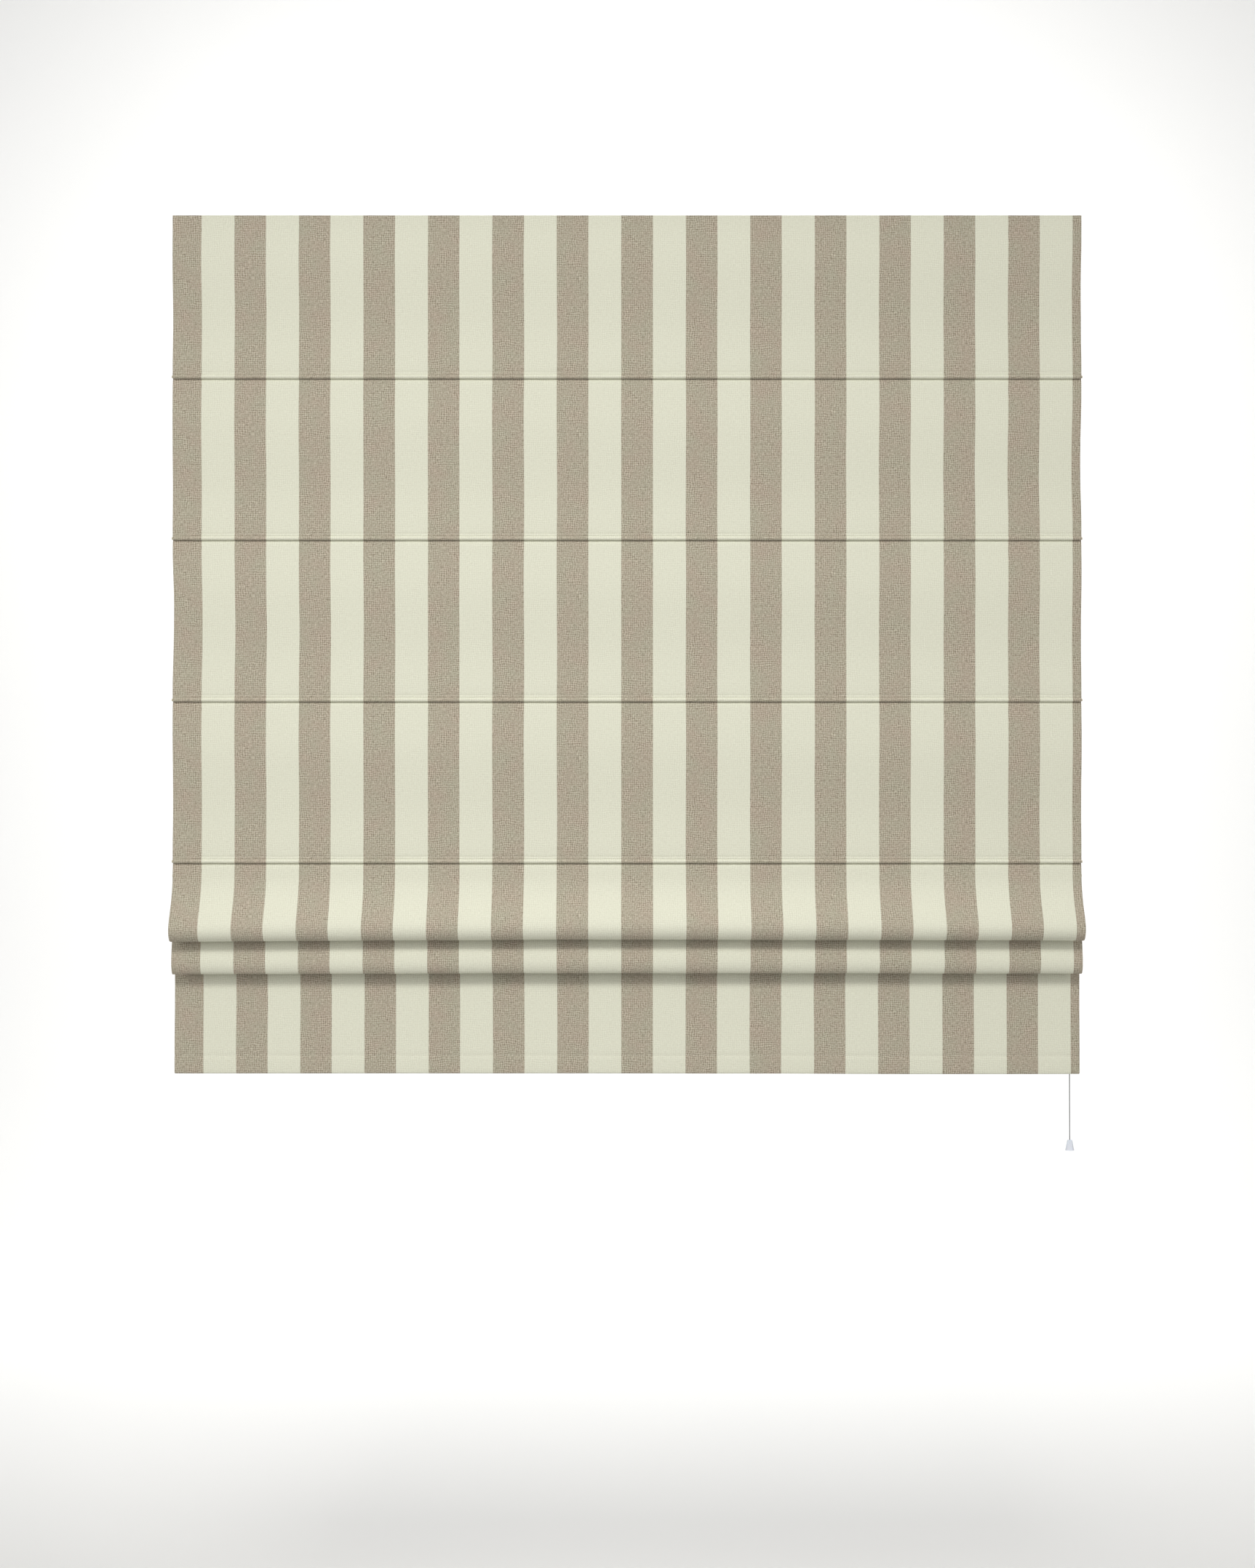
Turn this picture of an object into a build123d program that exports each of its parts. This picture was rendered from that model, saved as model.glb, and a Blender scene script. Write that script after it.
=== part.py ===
from build123d import *
import math
import os

os.makedirs("parts", exist_ok=True)

# A corded roman blind, in millimetres.
# X runs along the headrail to the right, Y runs into the wall and Z is up.
# The origin is on the wall, midway between the two screw holes of the middle bracket.
# Heights under the top edge are given as drops, and depths are measured from the wall, towards the room.

# cloth
cloth_width = 1400.0
cloth_thickness = 1.2
panel_drop = 249.0  # from one rod to the next down the flat part
flat_panels = 4
top_edge_above_rail = 3.0

# the upper gathered fold, measured down from the fourth rod
upper_fold_straight = 30.0
upper_fold_full_at = 98.0
upper_fold_hang = 121.0
upper_fold_reach = 35.0
upper_fold_turn = 8.0

# the lower gathered fold, measured down from the fourth rod
lower_fold_full_at = 112.0
lower_fold_hang = 173.5
lower_fold_reach = 12.0
lower_fold_turn = 5.0

# the straight piece under the folds
fifth_rod_drop = 22.0
sixth_rod_drop = 92.0
hem_drop = 237.0
hem_pocket_height = 27.0
hem_seam_height = 6.0
hem_front_gap = 0.6  # between the hem and the tassel's widest place, in depth
gather_gap = 1.0  # between the fifth rod's tunnel and the cloth in front of it
edge_gap = 0.3  # between one zone of cloth and the next

# rods, weight bar and rings
rod_radius = 2.0
rod_past_cloth = 1.6
rod_gap = 0.2
bar_thickness = 2.6
bar_height = 20.0
bar_short_of_edge = 10.0
bar_gap = 0.2
ring_outer_radius = 6.0
ring_wire_radius = 0.65
ring_gap = 0.2
ring_columns = 4
ring_edge_inset = 110.0
cord_inside_ring = 1.7  # from a flat ring's middle to its lift cord, away from the cloth

# headrail
rail_depth = 30.0
rail_height = 30.0
rail_wall = 1.3
rail_short_of_edge = 7.0
rail_lip = 2.0
rail_off_wall = 8.0
rail_above_screws = 6.0
groove_width = 12.4
groove_height = 2.6
groove_mouth = 7.0
rail_corner = 0.8
tape_height = 20.0
hook_tape_thickness = 1.0
loop_tape_thickness = 1.2
tape_below_rail_top = 5.0
cap_thickness = 2.0
cap_plug = 3.0
cap_fit = 0.2

# brackets and latches
bracket_width = 36.0
bracket_plate = 2.0
bracket_below_screws = 9.0
bracket_reach_past_centre = 11.0
bracket_end_inset = 140.0
screw_spacing = 22.0
screw_hole_radius = 2.25
bracket_bend = 2.5
bracket_tip_corner = 5.0
latch_stem_radius = 2.9
latch_fit = 0.1
latch_head_width = 6.4
latch_head_length = 11.6
latch_head_thickness = 1.8
latch_gap = 0.2
latch_hub_radius = 5.0
latch_lever_length = 13.0
latch_lever_width = 5.6
latch_lever_thickness = 1.6

# cord guides
cord_radius = 0.5
cord_bend_radius = 30.0  # where the cords leave the rail's line for the lock
cord_spread_after_column = 25.0
cord_spread_before_lock = 4.0
wheel_groove_depth = 1.55
wheel_width = 5.0
wheel_groove_floor = 1.6
wheel_groove_mouth = 3.8
axle_radius = 1.5
axle_fit = 0.05
press_fit = 0.02
guide_cheek = 1.6
guide_side_gap = 0.3
guide_base = 1.8
guide_seat_gap = 0.2
guide_wheel_gap = 1.0
guide_length = 30.0
guide_cheek_length = 17.0
guide_cheek_headroom = 4.0
guide_collar_radius = 3.2
guide_collar_below_rail = 3.0
guide_hole_radius = 1.5
cord_level_gap = 0.6  # between one passing cord and the next
first_level_above_flange = 1.1  # from the flange to the lowest passing cord
cord_headroom = 2.2  # from the highest passing cord to the rail's cavity top

# cord lock
pull_inset = 12.6
pull_off_wall = 15.0
lock_pin_radius = 2.8
lock_roller_radius = 2.8
lock_journal_radius = 1.25
lock_roller_travel = 4.0
lock_slot_angle = 135.0
lock_cord_gap = 0.7
lock_cord_drop = 10.0  # from the rail's cavity top to the cords in the lock
lock_cheek = 1.2
lock_side_gap = 0.3
lock_length = 34.0
lock_pinch_gap = 0.05
lock_inner_width = 8.4
lock_exit_length = 2.6

# pull cord
pull_cord_radius = 0.75
joiner_radius = 4.5
joiner_below_rail = 66.0
joiner_cap_height = 4.0
joiner_cup_height = 20.0
joiner_wall = 1.0
joiner_tip_radius = 2.4
joiner_hole_gap = 0.15
joiner_corner = 1.0
tassel_height = 16.5
tassel_top_radius = 4.0
tassel_base_radius = 6.8
tassel_wall = 1.3
tassel_corner = 1.0
tassel_drop = 1445.5  # the tassel's lower edge, under the blind's top edge
knot_radius = 1.7
knot_gap = 0.1

# places worked out from the sizes
rail_bottom = rail_above_screws
rail_top = rail_bottom + rail_height
rail_back = -rail_off_wall
rail_front = rail_back - rail_depth
rail_middle = (rail_front + rail_back) / 2
rail_end = cloth_width / 2 - rail_short_of_edge
cavity_bottom = rail_bottom + rail_wall
cavity_top = rail_top - 2 * rail_wall - groove_height
cavity_depth = rail_depth - 2 * rail_wall

cloth_back = rail_front - hook_tape_thickness - loop_tape_thickness
cloth_middle = cloth_back - cloth_thickness / 2
cloth_top = rail_top + top_edge_above_rail
tunnel_inner = rod_radius + rod_gap
tunnel_outer = tunnel_inner + cloth_thickness
tunnel_middle = tunnel_inner + cloth_thickness / 2

rod_end = cloth_width / 2 + rod_past_cloth
rod_heights = [cloth_top - panel_drop * n for n in range(1, flat_panels + 1)]
last_flat_rod = rod_heights[-1]
fifth_rod_height = last_flat_rod - fifth_rod_drop
sixth_rod_height = last_flat_rod - sixth_rod_drop
rod_heights += [fifth_rod_height, sixth_rod_height]
hem_bottom = sixth_rod_height - hem_drop

fifth_rod_depth = cloth_back + gather_gap + tunnel_outer
hem_width = bar_thickness + 2 * bar_gap + cloth_thickness  # between the pocket's two cloth middles
hem_back = -(pull_off_wall + tassel_base_radius + hem_front_gap + cloth_thickness / 2)
bottom_middle = hem_back - hem_width
sixth_rod_depth = bottom_middle - tunnel_middle
rod_depths = [cloth_middle] * flat_panels + [fifth_rod_depth, sixth_rod_depth]

cord_depth = cloth_middle + tunnel_outer + ring_gap + ring_outer_radius + cord_inside_ring
ring_span = cloth_width - 2 * ring_edge_inset
column_step = ring_span / (ring_columns - 1)
columns = [-ring_span / 2 + column_step * n for n in range(ring_columns)]

guide_floor = cavity_bottom + guide_seat_gap + guide_base
cord_level_step = 2 * cord_radius + cord_level_gap
passing_cords = (ring_columns - 2) * cord_level_step + 2 * cord_radius
passing_stack = first_level_above_flange + passing_cords + cord_headroom
wheel_flange_radius = (cavity_top - guide_floor - guide_wheel_gap - passing_stack) / 2
wheel_groove_radius = wheel_flange_radius - wheel_groove_depth
wheel_path = wheel_groove_radius + axle_fit + cord_radius
wheel_height = guide_floor + guide_wheel_gap + wheel_flange_radius

pull_x = cloth_width / 2 - pull_inset
pull_depth = -pull_off_wall
lock_level = cavity_top - lock_cord_drop
lock_cord_pitch = 2 * cord_radius + lock_cord_gap
lock_path = lock_pin_radius + cord_radius
lock_pin_x = pull_x - lock_path
lock_pin_height = lock_level - lock_path
lock_right = rail_end - cap_plug - cap_fit
lock_left = lock_right - lock_length
lock_floor = cavity_bottom + guide_seat_gap + guide_base
lock_cord_depths = [pull_depth + lock_cord_pitch * (n - (ring_columns - 1) / 2) for n in range(ring_columns)]

joiner_top = rail_bottom - joiner_below_rail
tassel_bottom = cloth_top - tassel_drop
tassel_top = tassel_bottom + tassel_height


def save(piece, name):
    piece.part.label = name
    export_step(piece.part, f"parts/{name}.step")


# headrail: one extruded profile with a latch groove along its top and a lipped mouth underneath
with BuildPart() as headrail:
    with BuildSketch(Plane.YZ.offset(-rail_end)):
        with Locations((rail_middle, rail_bottom)):
            Rectangle(rail_depth, rail_height, align=(Align.CENTER, Align.MIN))
        with Locations((rail_middle, (cavity_bottom + cavity_top) / 2)):
            Rectangle(cavity_depth, cavity_top - cavity_bottom, mode=Mode.SUBTRACT)
        with Locations((rail_middle, rail_bottom + rail_wall / 2)):
            Rectangle(cavity_depth - 2 * rail_lip, rail_wall, mode=Mode.SUBTRACT)
        with Locations((rail_middle, rail_top - rail_wall)):
            Rectangle(groove_width, groove_height, align=(Align.CENTER, Align.MAX), mode=Mode.SUBTRACT)
        with Locations((rail_middle, rail_top)):
            Rectangle(groove_mouth, rail_wall, align=(Align.CENTER, Align.MAX), mode=Mode.SUBTRACT)
        # hollow either side of the groove, so that the profile keeps one wall thickness
        for side in (-1, 1):
            pocket_width = (cavity_depth - groove_width) / 2 - rail_wall
            pocket_height = groove_height + rail_wall
            pocket_middle = rail_middle + side * (groove_width / 2 + rail_wall + pocket_width / 2)
            with Locations((pocket_middle, cavity_top + pocket_height / 2)):
                Rectangle(pocket_width, pocket_height, mode=Mode.SUBTRACT)
    extrude(amount=2 * rail_end)
    long_edges = headrail.edges().filter_by(Axis.X)
    outer_corners = long_edges.group_by(Axis.Y)[0] + long_edges.group_by(Axis.Y)[-1]
    fillet(outer_corners, radius=rail_corner)
save(headrail, "headrail")

# end caps: a plate over the profile with a short plug in its cavity
for side, name in ((-1, "end_cap_left"), (1, "end_cap_right")):
    with BuildPart() as end_cap:
        with BuildSketch(Plane.YZ.offset(side * rail_end)):
            with Locations((rail_middle, rail_bottom)):
                RectangleRounded(rail_depth, rail_height, rail_corner, align=(Align.CENTER, Align.MIN))
        extrude(amount=side * cap_thickness)
        with BuildSketch(Plane.YZ.offset(side * rail_end)):
            with Locations((rail_middle, (cavity_bottom + cavity_top) / 2)):
                Rectangle(cavity_depth - 2 * cap_fit, cavity_top - cavity_bottom - 2 * cap_fit)
        extrude(amount=-side * cap_plug)
    save(end_cap, name)

# hook tape on the rail and loop tape on the cloth
tape_top = rail_top - tape_below_rail_top
for name, back, thickness in (
    ("hook_tape", rail_front, hook_tape_thickness),
    ("loop_tape", rail_front - hook_tape_thickness, loop_tape_thickness),
):
    with BuildPart() as tape:
        with BuildSketch(Plane.XZ.offset(-back)):
            with Locations((0, tape_top)):
                Rectangle(2 * rail_end, tape_height, align=(Align.CENTER, Align.MAX))
        extrude(amount=thickness)
    save(tape, name)

# wall brackets and the latches that turn in them
bracket_places = {
    "left": -(cloth_width / 2 - bracket_end_inset),
    "middle": 0.0,
    "right": cloth_width / 2 - bracket_end_inset,
}
for place, bracket_x in bracket_places.items():
    with BuildPart() as bracket:
        with BuildSketch(Plane.YZ.offset(bracket_x - bracket_width / 2)):
            with BuildLine():
                bracket_front = rail_middle - bracket_reach_past_centre
                Polyline(
                    (0, -bracket_below_screws),
                    (0, rail_top + bracket_plate),
                    (bracket_front, rail_top + bracket_plate),
                    (bracket_front, rail_top),
                    (-bracket_plate, rail_top),
                    (-bracket_plate, -bracket_below_screws),
                    close=True,
                )
            make_face()
        extrude(amount=bracket_width)
        bends = bracket.edges().filter_by(Axis.X)
        outer_bend = bends.group_by(Axis.Y)[-1].sort_by(Axis.Z)[-1]
        fillet(outer_bend, radius=bracket_bend)
        tip_corners = bracket.edges().filter_by(Axis.Z).group_by(Axis.Y)[0]
        fillet(tip_corners, radius=bracket_tip_corner)
        with Locations(Plane.XZ):
            with Locations((bracket_x - screw_spacing / 2, 0), (bracket_x + screw_spacing / 2, 0)):
                Hole(radius=screw_hole_radius, depth=2 * bracket_plate)
        with Locations(Plane.XY.offset(rail_top + bracket_plate)):
            with Locations((bracket_x, rail_middle)):
                Hole(radius=latch_stem_radius + latch_fit, depth=bracket_plate)
    save(bracket, f"bracket_{place}")

    with BuildPart() as latch:
        head_top = rail_top - rail_wall - latch_gap
        lever_floor = rail_top + bracket_plate + latch_gap
        with BuildSketch(Plane.XY.offset(head_top - latch_head_thickness)):
            with Locations((bracket_x, rail_middle)):
                SlotOverall(latch_head_length, latch_head_width, rotation=90)
        extrude(amount=latch_head_thickness)
        with BuildSketch(Plane.XY.offset(head_top)):
            with Locations((bracket_x, rail_middle)):
                Circle(latch_stem_radius)
        extrude(amount=lever_floor - head_top)
        with BuildSketch(Plane.XY.offset(lever_floor)):
            with Locations((bracket_x, rail_middle)):
                Circle(latch_hub_radius)
            with Locations((bracket_x + (latch_lever_length - latch_lever_width / 2) / 2, rail_middle)):
                SlotOverall(latch_lever_length + latch_lever_width / 2, latch_lever_width)
        extrude(amount=latch_lever_thickness)
    save(latch, f"latch_{place}")

# cord guides: a housing clipped in the rail's mouth, with a wheel on an axle between two cheeks
cheek_inner = wheel_width / 2 + guide_side_gap
cheek_outer = cheek_inner + guide_cheek
guide_seat = cavity_bottom + guide_seat_gap
collar_bottom = rail_bottom - guide_collar_below_rail
for number, column in enumerate(columns, start=1):
    axle_x = column + wheel_path
    with BuildPart() as housing:
        with BuildSketch(Plane.XY.offset(guide_seat)):
            with Locations((axle_x, rail_middle)):
                RectangleRounded(guide_length, cavity_depth - 2 * guide_seat_gap, 2 * guide_cheek)
        extrude(amount=guide_base)
        for side in (-1, 1):
            cheek_middle = cord_depth + side * (cheek_inner + cheek_outer) / 2
            with BuildSketch(Plane.XY.offset(guide_floor)):
                with Locations((axle_x, cheek_middle)):
                    Rectangle(guide_cheek_length, guide_cheek)
            extrude(amount=cavity_top - guide_cheek_headroom - guide_floor)
        cheek_tops = housing.edges().filter_by(Axis.Y).group_by(Axis.Z)[-1]
        fillet(cheek_tops, radius=guide_cheek_length / 4)
        with BuildSketch(Plane.XY.offset(guide_seat)):
            with Locations((column, cord_depth)):
                Circle(guide_collar_radius)
        extrude(amount=-(guide_seat - collar_bottom))
        with Locations(Plane.XY.offset(guide_floor)):
            with Locations((column, cord_depth)):
                Hole(radius=guide_hole_radius, depth=guide_floor - collar_bottom)
        mouth = housing.edges().filter_by(GeomType.CIRCLE).group_by(Axis.Z)[0].sort_by(SortBy.RADIUS)[0]
        chamfer(mouth, length=(guide_collar_radius - guide_hole_radius) / 2)
        with Locations(Plane.XZ.offset(-(cord_depth + cheek_outer))):
            with Locations((axle_x, wheel_height)):
                Hole(radius=axle_radius + press_fit, depth=2 * cheek_outer)
    save(housing, f"guide_housing_{number}")

    with BuildPart() as axle:
        with BuildSketch(Plane.XZ.offset(-(cord_depth + cheek_outer))):
            with Locations((axle_x, wheel_height)):
                Circle(axle_radius)
        extrude(amount=2 * cheek_outer)
    save(axle, f"guide_axle_{number}")

    with BuildPart() as wheel:
        with BuildSketch(Plane.XY.offset(wheel_height)):
            with BuildLine():
                bore = axle_radius + axle_fit
                Polyline(
                    (axle_x + bore, cord_depth - wheel_width / 2),
                    (axle_x + wheel_flange_radius, cord_depth - wheel_width / 2),
                    (axle_x + wheel_flange_radius, cord_depth - wheel_groove_mouth / 2),
                    (axle_x + wheel_groove_radius, cord_depth - wheel_groove_floor / 2),
                    (axle_x + wheel_groove_radius, cord_depth + wheel_groove_floor / 2),
                    (axle_x + wheel_flange_radius, cord_depth + wheel_groove_mouth / 2),
                    (axle_x + wheel_flange_radius, cord_depth + wheel_width / 2),
                    (axle_x + bore, cord_depth + wheel_width / 2),
                    close=True,
                )
            make_face()
        revolve(axis=Axis((axle_x, 0, wheel_height), (0, 1, 0)))
    save(wheel, f"guide_wheel_{number}")

# cord lock: a housing with a fixed pin, and a roller that drops along slanted slots onto the cords
lock_cheek_inner = lock_inner_width / 2
lock_cheek_outer = lock_cheek_inner + lock_cheek
lock_height = cavity_top - guide_seat_gap - lock_floor
roller_height = lock_pin_height + lock_path + cord_radius + lock_pinch_gap + lock_roller_radius
slot_radius = lock_journal_radius + latch_fit
slot_shift_x = lock_roller_travel * math.cos(math.radians(lock_slot_angle))
slot_shift_z = lock_roller_travel * math.sin(math.radians(lock_slot_angle))
with BuildPart() as lock_housing:
    with BuildSketch(Plane.XY.offset(lock_floor - guide_base)):
        with Locations(((lock_left + lock_right) / 2, pull_depth)):
            Rectangle(lock_length, 2 * lock_cheek_outer)
        with Locations((pull_x, pull_depth)):
            Rectangle(lock_exit_length, lock_inner_width, mode=Mode.SUBTRACT)
    extrude(amount=guide_base)
    for side in (-1, 1):
        cheek_depth = pull_depth + side * (lock_cheek_inner + lock_cheek / 2)
        with BuildSketch(Plane.XY.offset(lock_floor)):
            with Locations(((lock_left + lock_right) / 2, cheek_depth)):
                Rectangle(lock_length, lock_cheek)
        extrude(amount=lock_height)
    with Locations(Plane.XZ.offset(-(pull_depth + lock_cheek_outer))):
        with Locations((lock_pin_x, lock_pin_height)):
            Hole(radius=lock_pin_radius + press_fit, depth=2 * lock_cheek_outer)
    with BuildSketch(Plane.XZ.offset(-(pull_depth + lock_cheek_outer))):
        with Locations((lock_pin_x + slot_shift_x / 2, roller_height + slot_shift_z / 2)):
            SlotCenterToCenter(lock_roller_travel, 2 * slot_radius, rotation=lock_slot_angle)
    extrude(amount=2 * lock_cheek_outer, mode=Mode.SUBTRACT)
save(lock_housing, "lock_housing")

with BuildPart() as lock_pin:
    with BuildSketch(Plane.XZ.offset(-(pull_depth + lock_cheek_outer))):
        with Locations((lock_pin_x, lock_pin_height)):
            Circle(lock_pin_radius)
    extrude(amount=2 * lock_cheek_outer)
save(lock_pin, "lock_pin")

with BuildPart() as lock_roller:
    with BuildSketch(Plane.XZ.offset(-(pull_depth + lock_cheek_outer))):
        with Locations((lock_pin_x, roller_height)):
            Circle(lock_journal_radius)
    extrude(amount=2 * lock_cheek_outer)
    with BuildSketch(Plane.XZ.offset(-(pull_depth + lock_cheek_inner - lock_side_gap))):
        with Locations((lock_pin_x, roller_height)):
            Circle(lock_roller_radius)
    extrude(amount=2 * (lock_cheek_inner - lock_side_gap))
save(lock_roller, "lock_roller")

# rods, each through its whole tunnel and just past the cloth's edges
for number, (depth, height) in enumerate(zip(rod_depths, rod_heights), start=1):
    with BuildPart() as rod:
        with BuildSketch(Plane.YZ.offset(-rod_end)):
            with Locations((depth, height)):
                Circle(rod_radius)
        extrude(amount=2 * rod_end)
    save(rod, f"rod_{number}")

# rings, sewn to the back of each tunnel: they lie flat where a cord passes, and the last row stands
ring_middle_radius = ring_outer_radius - ring_wire_radius
for number, (depth, height) in enumerate(zip(rod_depths, rod_heights), start=1):
    last_row = number == len(rod_heights)
    reach = tunnel_outer + ring_gap + ring_outer_radius
    ring_depth = cord_depth if last_row else depth + reach
    ring_height = height + reach if last_row else height
    ring_turn = (90, 0, 0) if last_row else (0, 0, 0)
    with BuildPart() as rings:
        with Locations(*[(column, ring_depth, ring_height) for column in columns]):
            Torus(ring_middle_radius, ring_wire_radius, rotation=ring_turn)
    save(rings, f"rings_row_{number}")
knot_height = sixth_rod_height + tunnel_outer + ring_gap + 2 * ring_outer_radius + knot_gap


# cloth, cut into the zones that travel with each rod; a zone's tunnel is at its upper end
def make_cloth(name, path_points, bend_radii=None, tunnel=None, seam=None):
    with BuildPart() as zone:
        with BuildSketch(Plane.YZ.offset(-cloth_width / 2)):
            with BuildLine():
                if bend_radii:
                    FilletPolyline(*path_points, radius=bend_radii)
                else:
                    Polyline(*path_points)
            trace(line_width=cloth_thickness)
            if seam:
                with BuildLine():
                    Polyline(*seam)
                trace(line_width=cloth_thickness)
            if tunnel:
                with Locations(tunnel):
                    Circle(tunnel_outer)
                    Circle(tunnel_inner, mode=Mode.SUBTRACT)
        extrude(amount=cloth_width)
    save(zone, name)


first_rod = rod_heights[0]
panel_end = tunnel_outer + edge_gap
fold_end_angle = math.radians(235)
# each fold's two bottom bends take this share of half its thickness and leave a short flat between them
fold_turn_share = 0.9


def fold_end(depth, height):
    """Where a fold's back layer stops, under and in front of the tunnel at this place."""
    reach = panel_end + cloth_thickness / 2
    return (depth + reach * math.cos(fold_end_angle), height + reach * math.sin(fold_end_angle))


make_cloth("cloth_panel_1", [(cloth_middle, cloth_top), (cloth_middle, first_rod + panel_end)])
for number in range(2, flat_panels + 1):
    upper_rod = rod_heights[number - 2]
    lower_rod = rod_heights[number - 1]
    make_cloth(
        f"cloth_panel_{number}",
        [(cloth_middle, upper_rod - tunnel_middle), (cloth_middle, lower_rod + panel_end)],
        tunnel=(cloth_middle, upper_rod),
    )

# upper fold: straight down, forward to its full reach, round at the bottom and back up to the fifth rod
upper_front = cloth_middle - upper_fold_reach
upper_bottom = last_flat_rod - upper_fold_hang + cloth_thickness / 2
make_cloth(
    "cloth_fold_upper",
    [
        (cloth_middle, last_flat_rod - tunnel_middle),
        (cloth_middle, last_flat_rod - upper_fold_straight),
        (upper_front, last_flat_rod - upper_fold_full_at),
        (upper_front, upper_bottom),
        (upper_front + 2 * upper_fold_turn, upper_bottom),
        fold_end(fifth_rod_depth, fifth_rod_height),
    ],
    [
        upper_fold_reach,
        upper_fold_reach,
        fold_turn_share * upper_fold_turn,
        fold_turn_share * upper_fold_turn,
    ],
    tunnel=(cloth_middle, last_flat_rod),
)

# lower fold: from the fifth rod forward, round at the bottom and back up to the sixth rod
lower_front = cloth_middle - lower_fold_reach
lower_bottom = last_flat_rod - lower_fold_hang + cloth_thickness / 2
make_cloth(
    "cloth_fold_lower",
    [
        (fifth_rod_depth, fifth_rod_height - tunnel_middle),
        (lower_front, last_flat_rod - lower_fold_full_at),
        (lower_front, lower_bottom),
        (lower_front + 2 * lower_fold_turn, lower_bottom),
        fold_end(sixth_rod_depth, sixth_rod_height),
    ],
    [upper_fold_reach, fold_turn_share * lower_fold_turn, fold_turn_share * lower_fold_turn],
    tunnel=(fifth_rod_depth, fifth_rod_height),
)

# bottom piece: from the back of the sixth tunnel down to the hem, which turns back up round the weight bar
hem_bottom_middle = hem_bottom + cloth_thickness / 2
pocket_top = hem_bottom + hem_pocket_height
make_cloth(
    "cloth_bottom",
    [
        (bottom_middle, sixth_rod_height - tunnel_inner / 2),
        (bottom_middle, hem_bottom_middle),
        (hem_back, hem_bottom_middle),
        (hem_back, pocket_top),
    ],
    [cloth_thickness, cloth_thickness],
    tunnel=(sixth_rod_depth, sixth_rod_height),
    seam=[(hem_back, pocket_top - cloth_thickness / 2), (bottom_middle, pocket_top + hem_seam_height)],
)

# weight bar in the hem
bar_end = cloth_width / 2 - bar_short_of_edge
with BuildPart() as weight_bar:
    with BuildSketch(Plane.YZ.offset(-bar_end)):
        with Locations(((bottom_middle + hem_back) / 2, hem_bottom + cloth_thickness + bar_gap)):
            RectangleRounded(bar_thickness, bar_height, bar_thickness / 3, align=(Align.CENTER, Align.MIN))
    extrude(amount=2 * bar_end)
save(weight_bar, "weight_bar")

# lift cords: up from the lowest rings, over their wheels, along the rail, round the lock's pin and down
spread_start = columns[-1] + cord_spread_after_column
spread_end = lock_left - cord_spread_before_lock
cord_bottom = joiner_top - joiner_cap_height
for number, column in enumerate(columns, start=1):
    levels_above = ring_columns - 1 - (number - 1)
    passing_level = wheel_height + wheel_flange_radius + first_level_above_flange + cord_radius
    level = wheel_height + wheel_path
    if levels_above:
        level = passing_level + cord_level_step * (levels_above - 1)
    lock_depth = lock_cord_depths[number - 1]
    turn_start = (column, cord_depth, wheel_height + wheel_path)
    points = [(column, cord_depth, knot_height), turn_start]
    points += [(spread_start, cord_depth, level), (spread_end, lock_depth, lock_level)]
    points += [(pull_x, lock_depth, lock_level), (pull_x, lock_depth, cord_bottom)]
    radii = [wheel_path, cord_bend_radius, cord_bend_radius, lock_path]
    with BuildPart() as lift_cord:
        with BuildLine() as route:
            FilletPolyline(*points, radius=radii)
        with BuildSketch(Plane(origin=points[0], z_dir=(0, 0, 1))):
            Circle(cord_radius)
        sweep(path=route.line)
        with Locations((column, cord_depth, knot_height + knot_radius)):
            Sphere(knot_radius)
    save(lift_cord, f"lift_cord_{number}")
    print(f"lift_cord_{number} length {sum(e.length for e in route.edges()):.1f}, bend radii {radii}")

# cord joiner: a cap with a hole for each lift cord, over a cup that the pull cord's knot sits in
cup_top = joiner_top - joiner_cap_height
cup_bottom = cup_top - joiner_cup_height
with BuildPart() as joiner_cap:
    with BuildSketch(Plane.XY.offset(cup_top)):
        with Locations((pull_x, pull_depth)):
            Circle(joiner_radius)
        with Locations(*[(pull_x, depth) for depth in lock_cord_depths]):
            Circle(cord_radius + joiner_hole_gap, mode=Mode.SUBTRACT)
    extrude(amount=joiner_cap_height)
    top_circles = joiner_cap.edges().filter_by(GeomType.CIRCLE).group_by(Axis.Z)[-1]
    fillet(top_circles.sort_by(SortBy.RADIUS)[-1], radius=joiner_corner)
save(joiner_cap, "joiner_cap")

with BuildPart() as joiner_cup:
    with BuildSketch(Plane.XZ.offset(-pull_depth)):
        with BuildLine():
            hole = pull_cord_radius + joiner_hole_gap
            Polyline(
                (pull_x + joiner_radius, cup_top),
                (pull_x + joiner_radius, cup_top - joiner_cup_height / 3),
                (pull_x + joiner_tip_radius, cup_bottom),
                (pull_x + hole, cup_bottom),
                (pull_x + hole, cup_bottom + 2 * joiner_wall),
                (pull_x + joiner_tip_radius, cup_bottom + 3 * joiner_wall),
                (pull_x + joiner_radius - joiner_wall, cup_top - joiner_cup_height / 3),
                (pull_x + joiner_radius - joiner_wall, cup_top),
                close=True,
            )
        make_face()
    revolve(axis=Axis((pull_x, pull_depth, 0), (0, 0, 1)))
save(joiner_cup, "joiner_cup")

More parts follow.
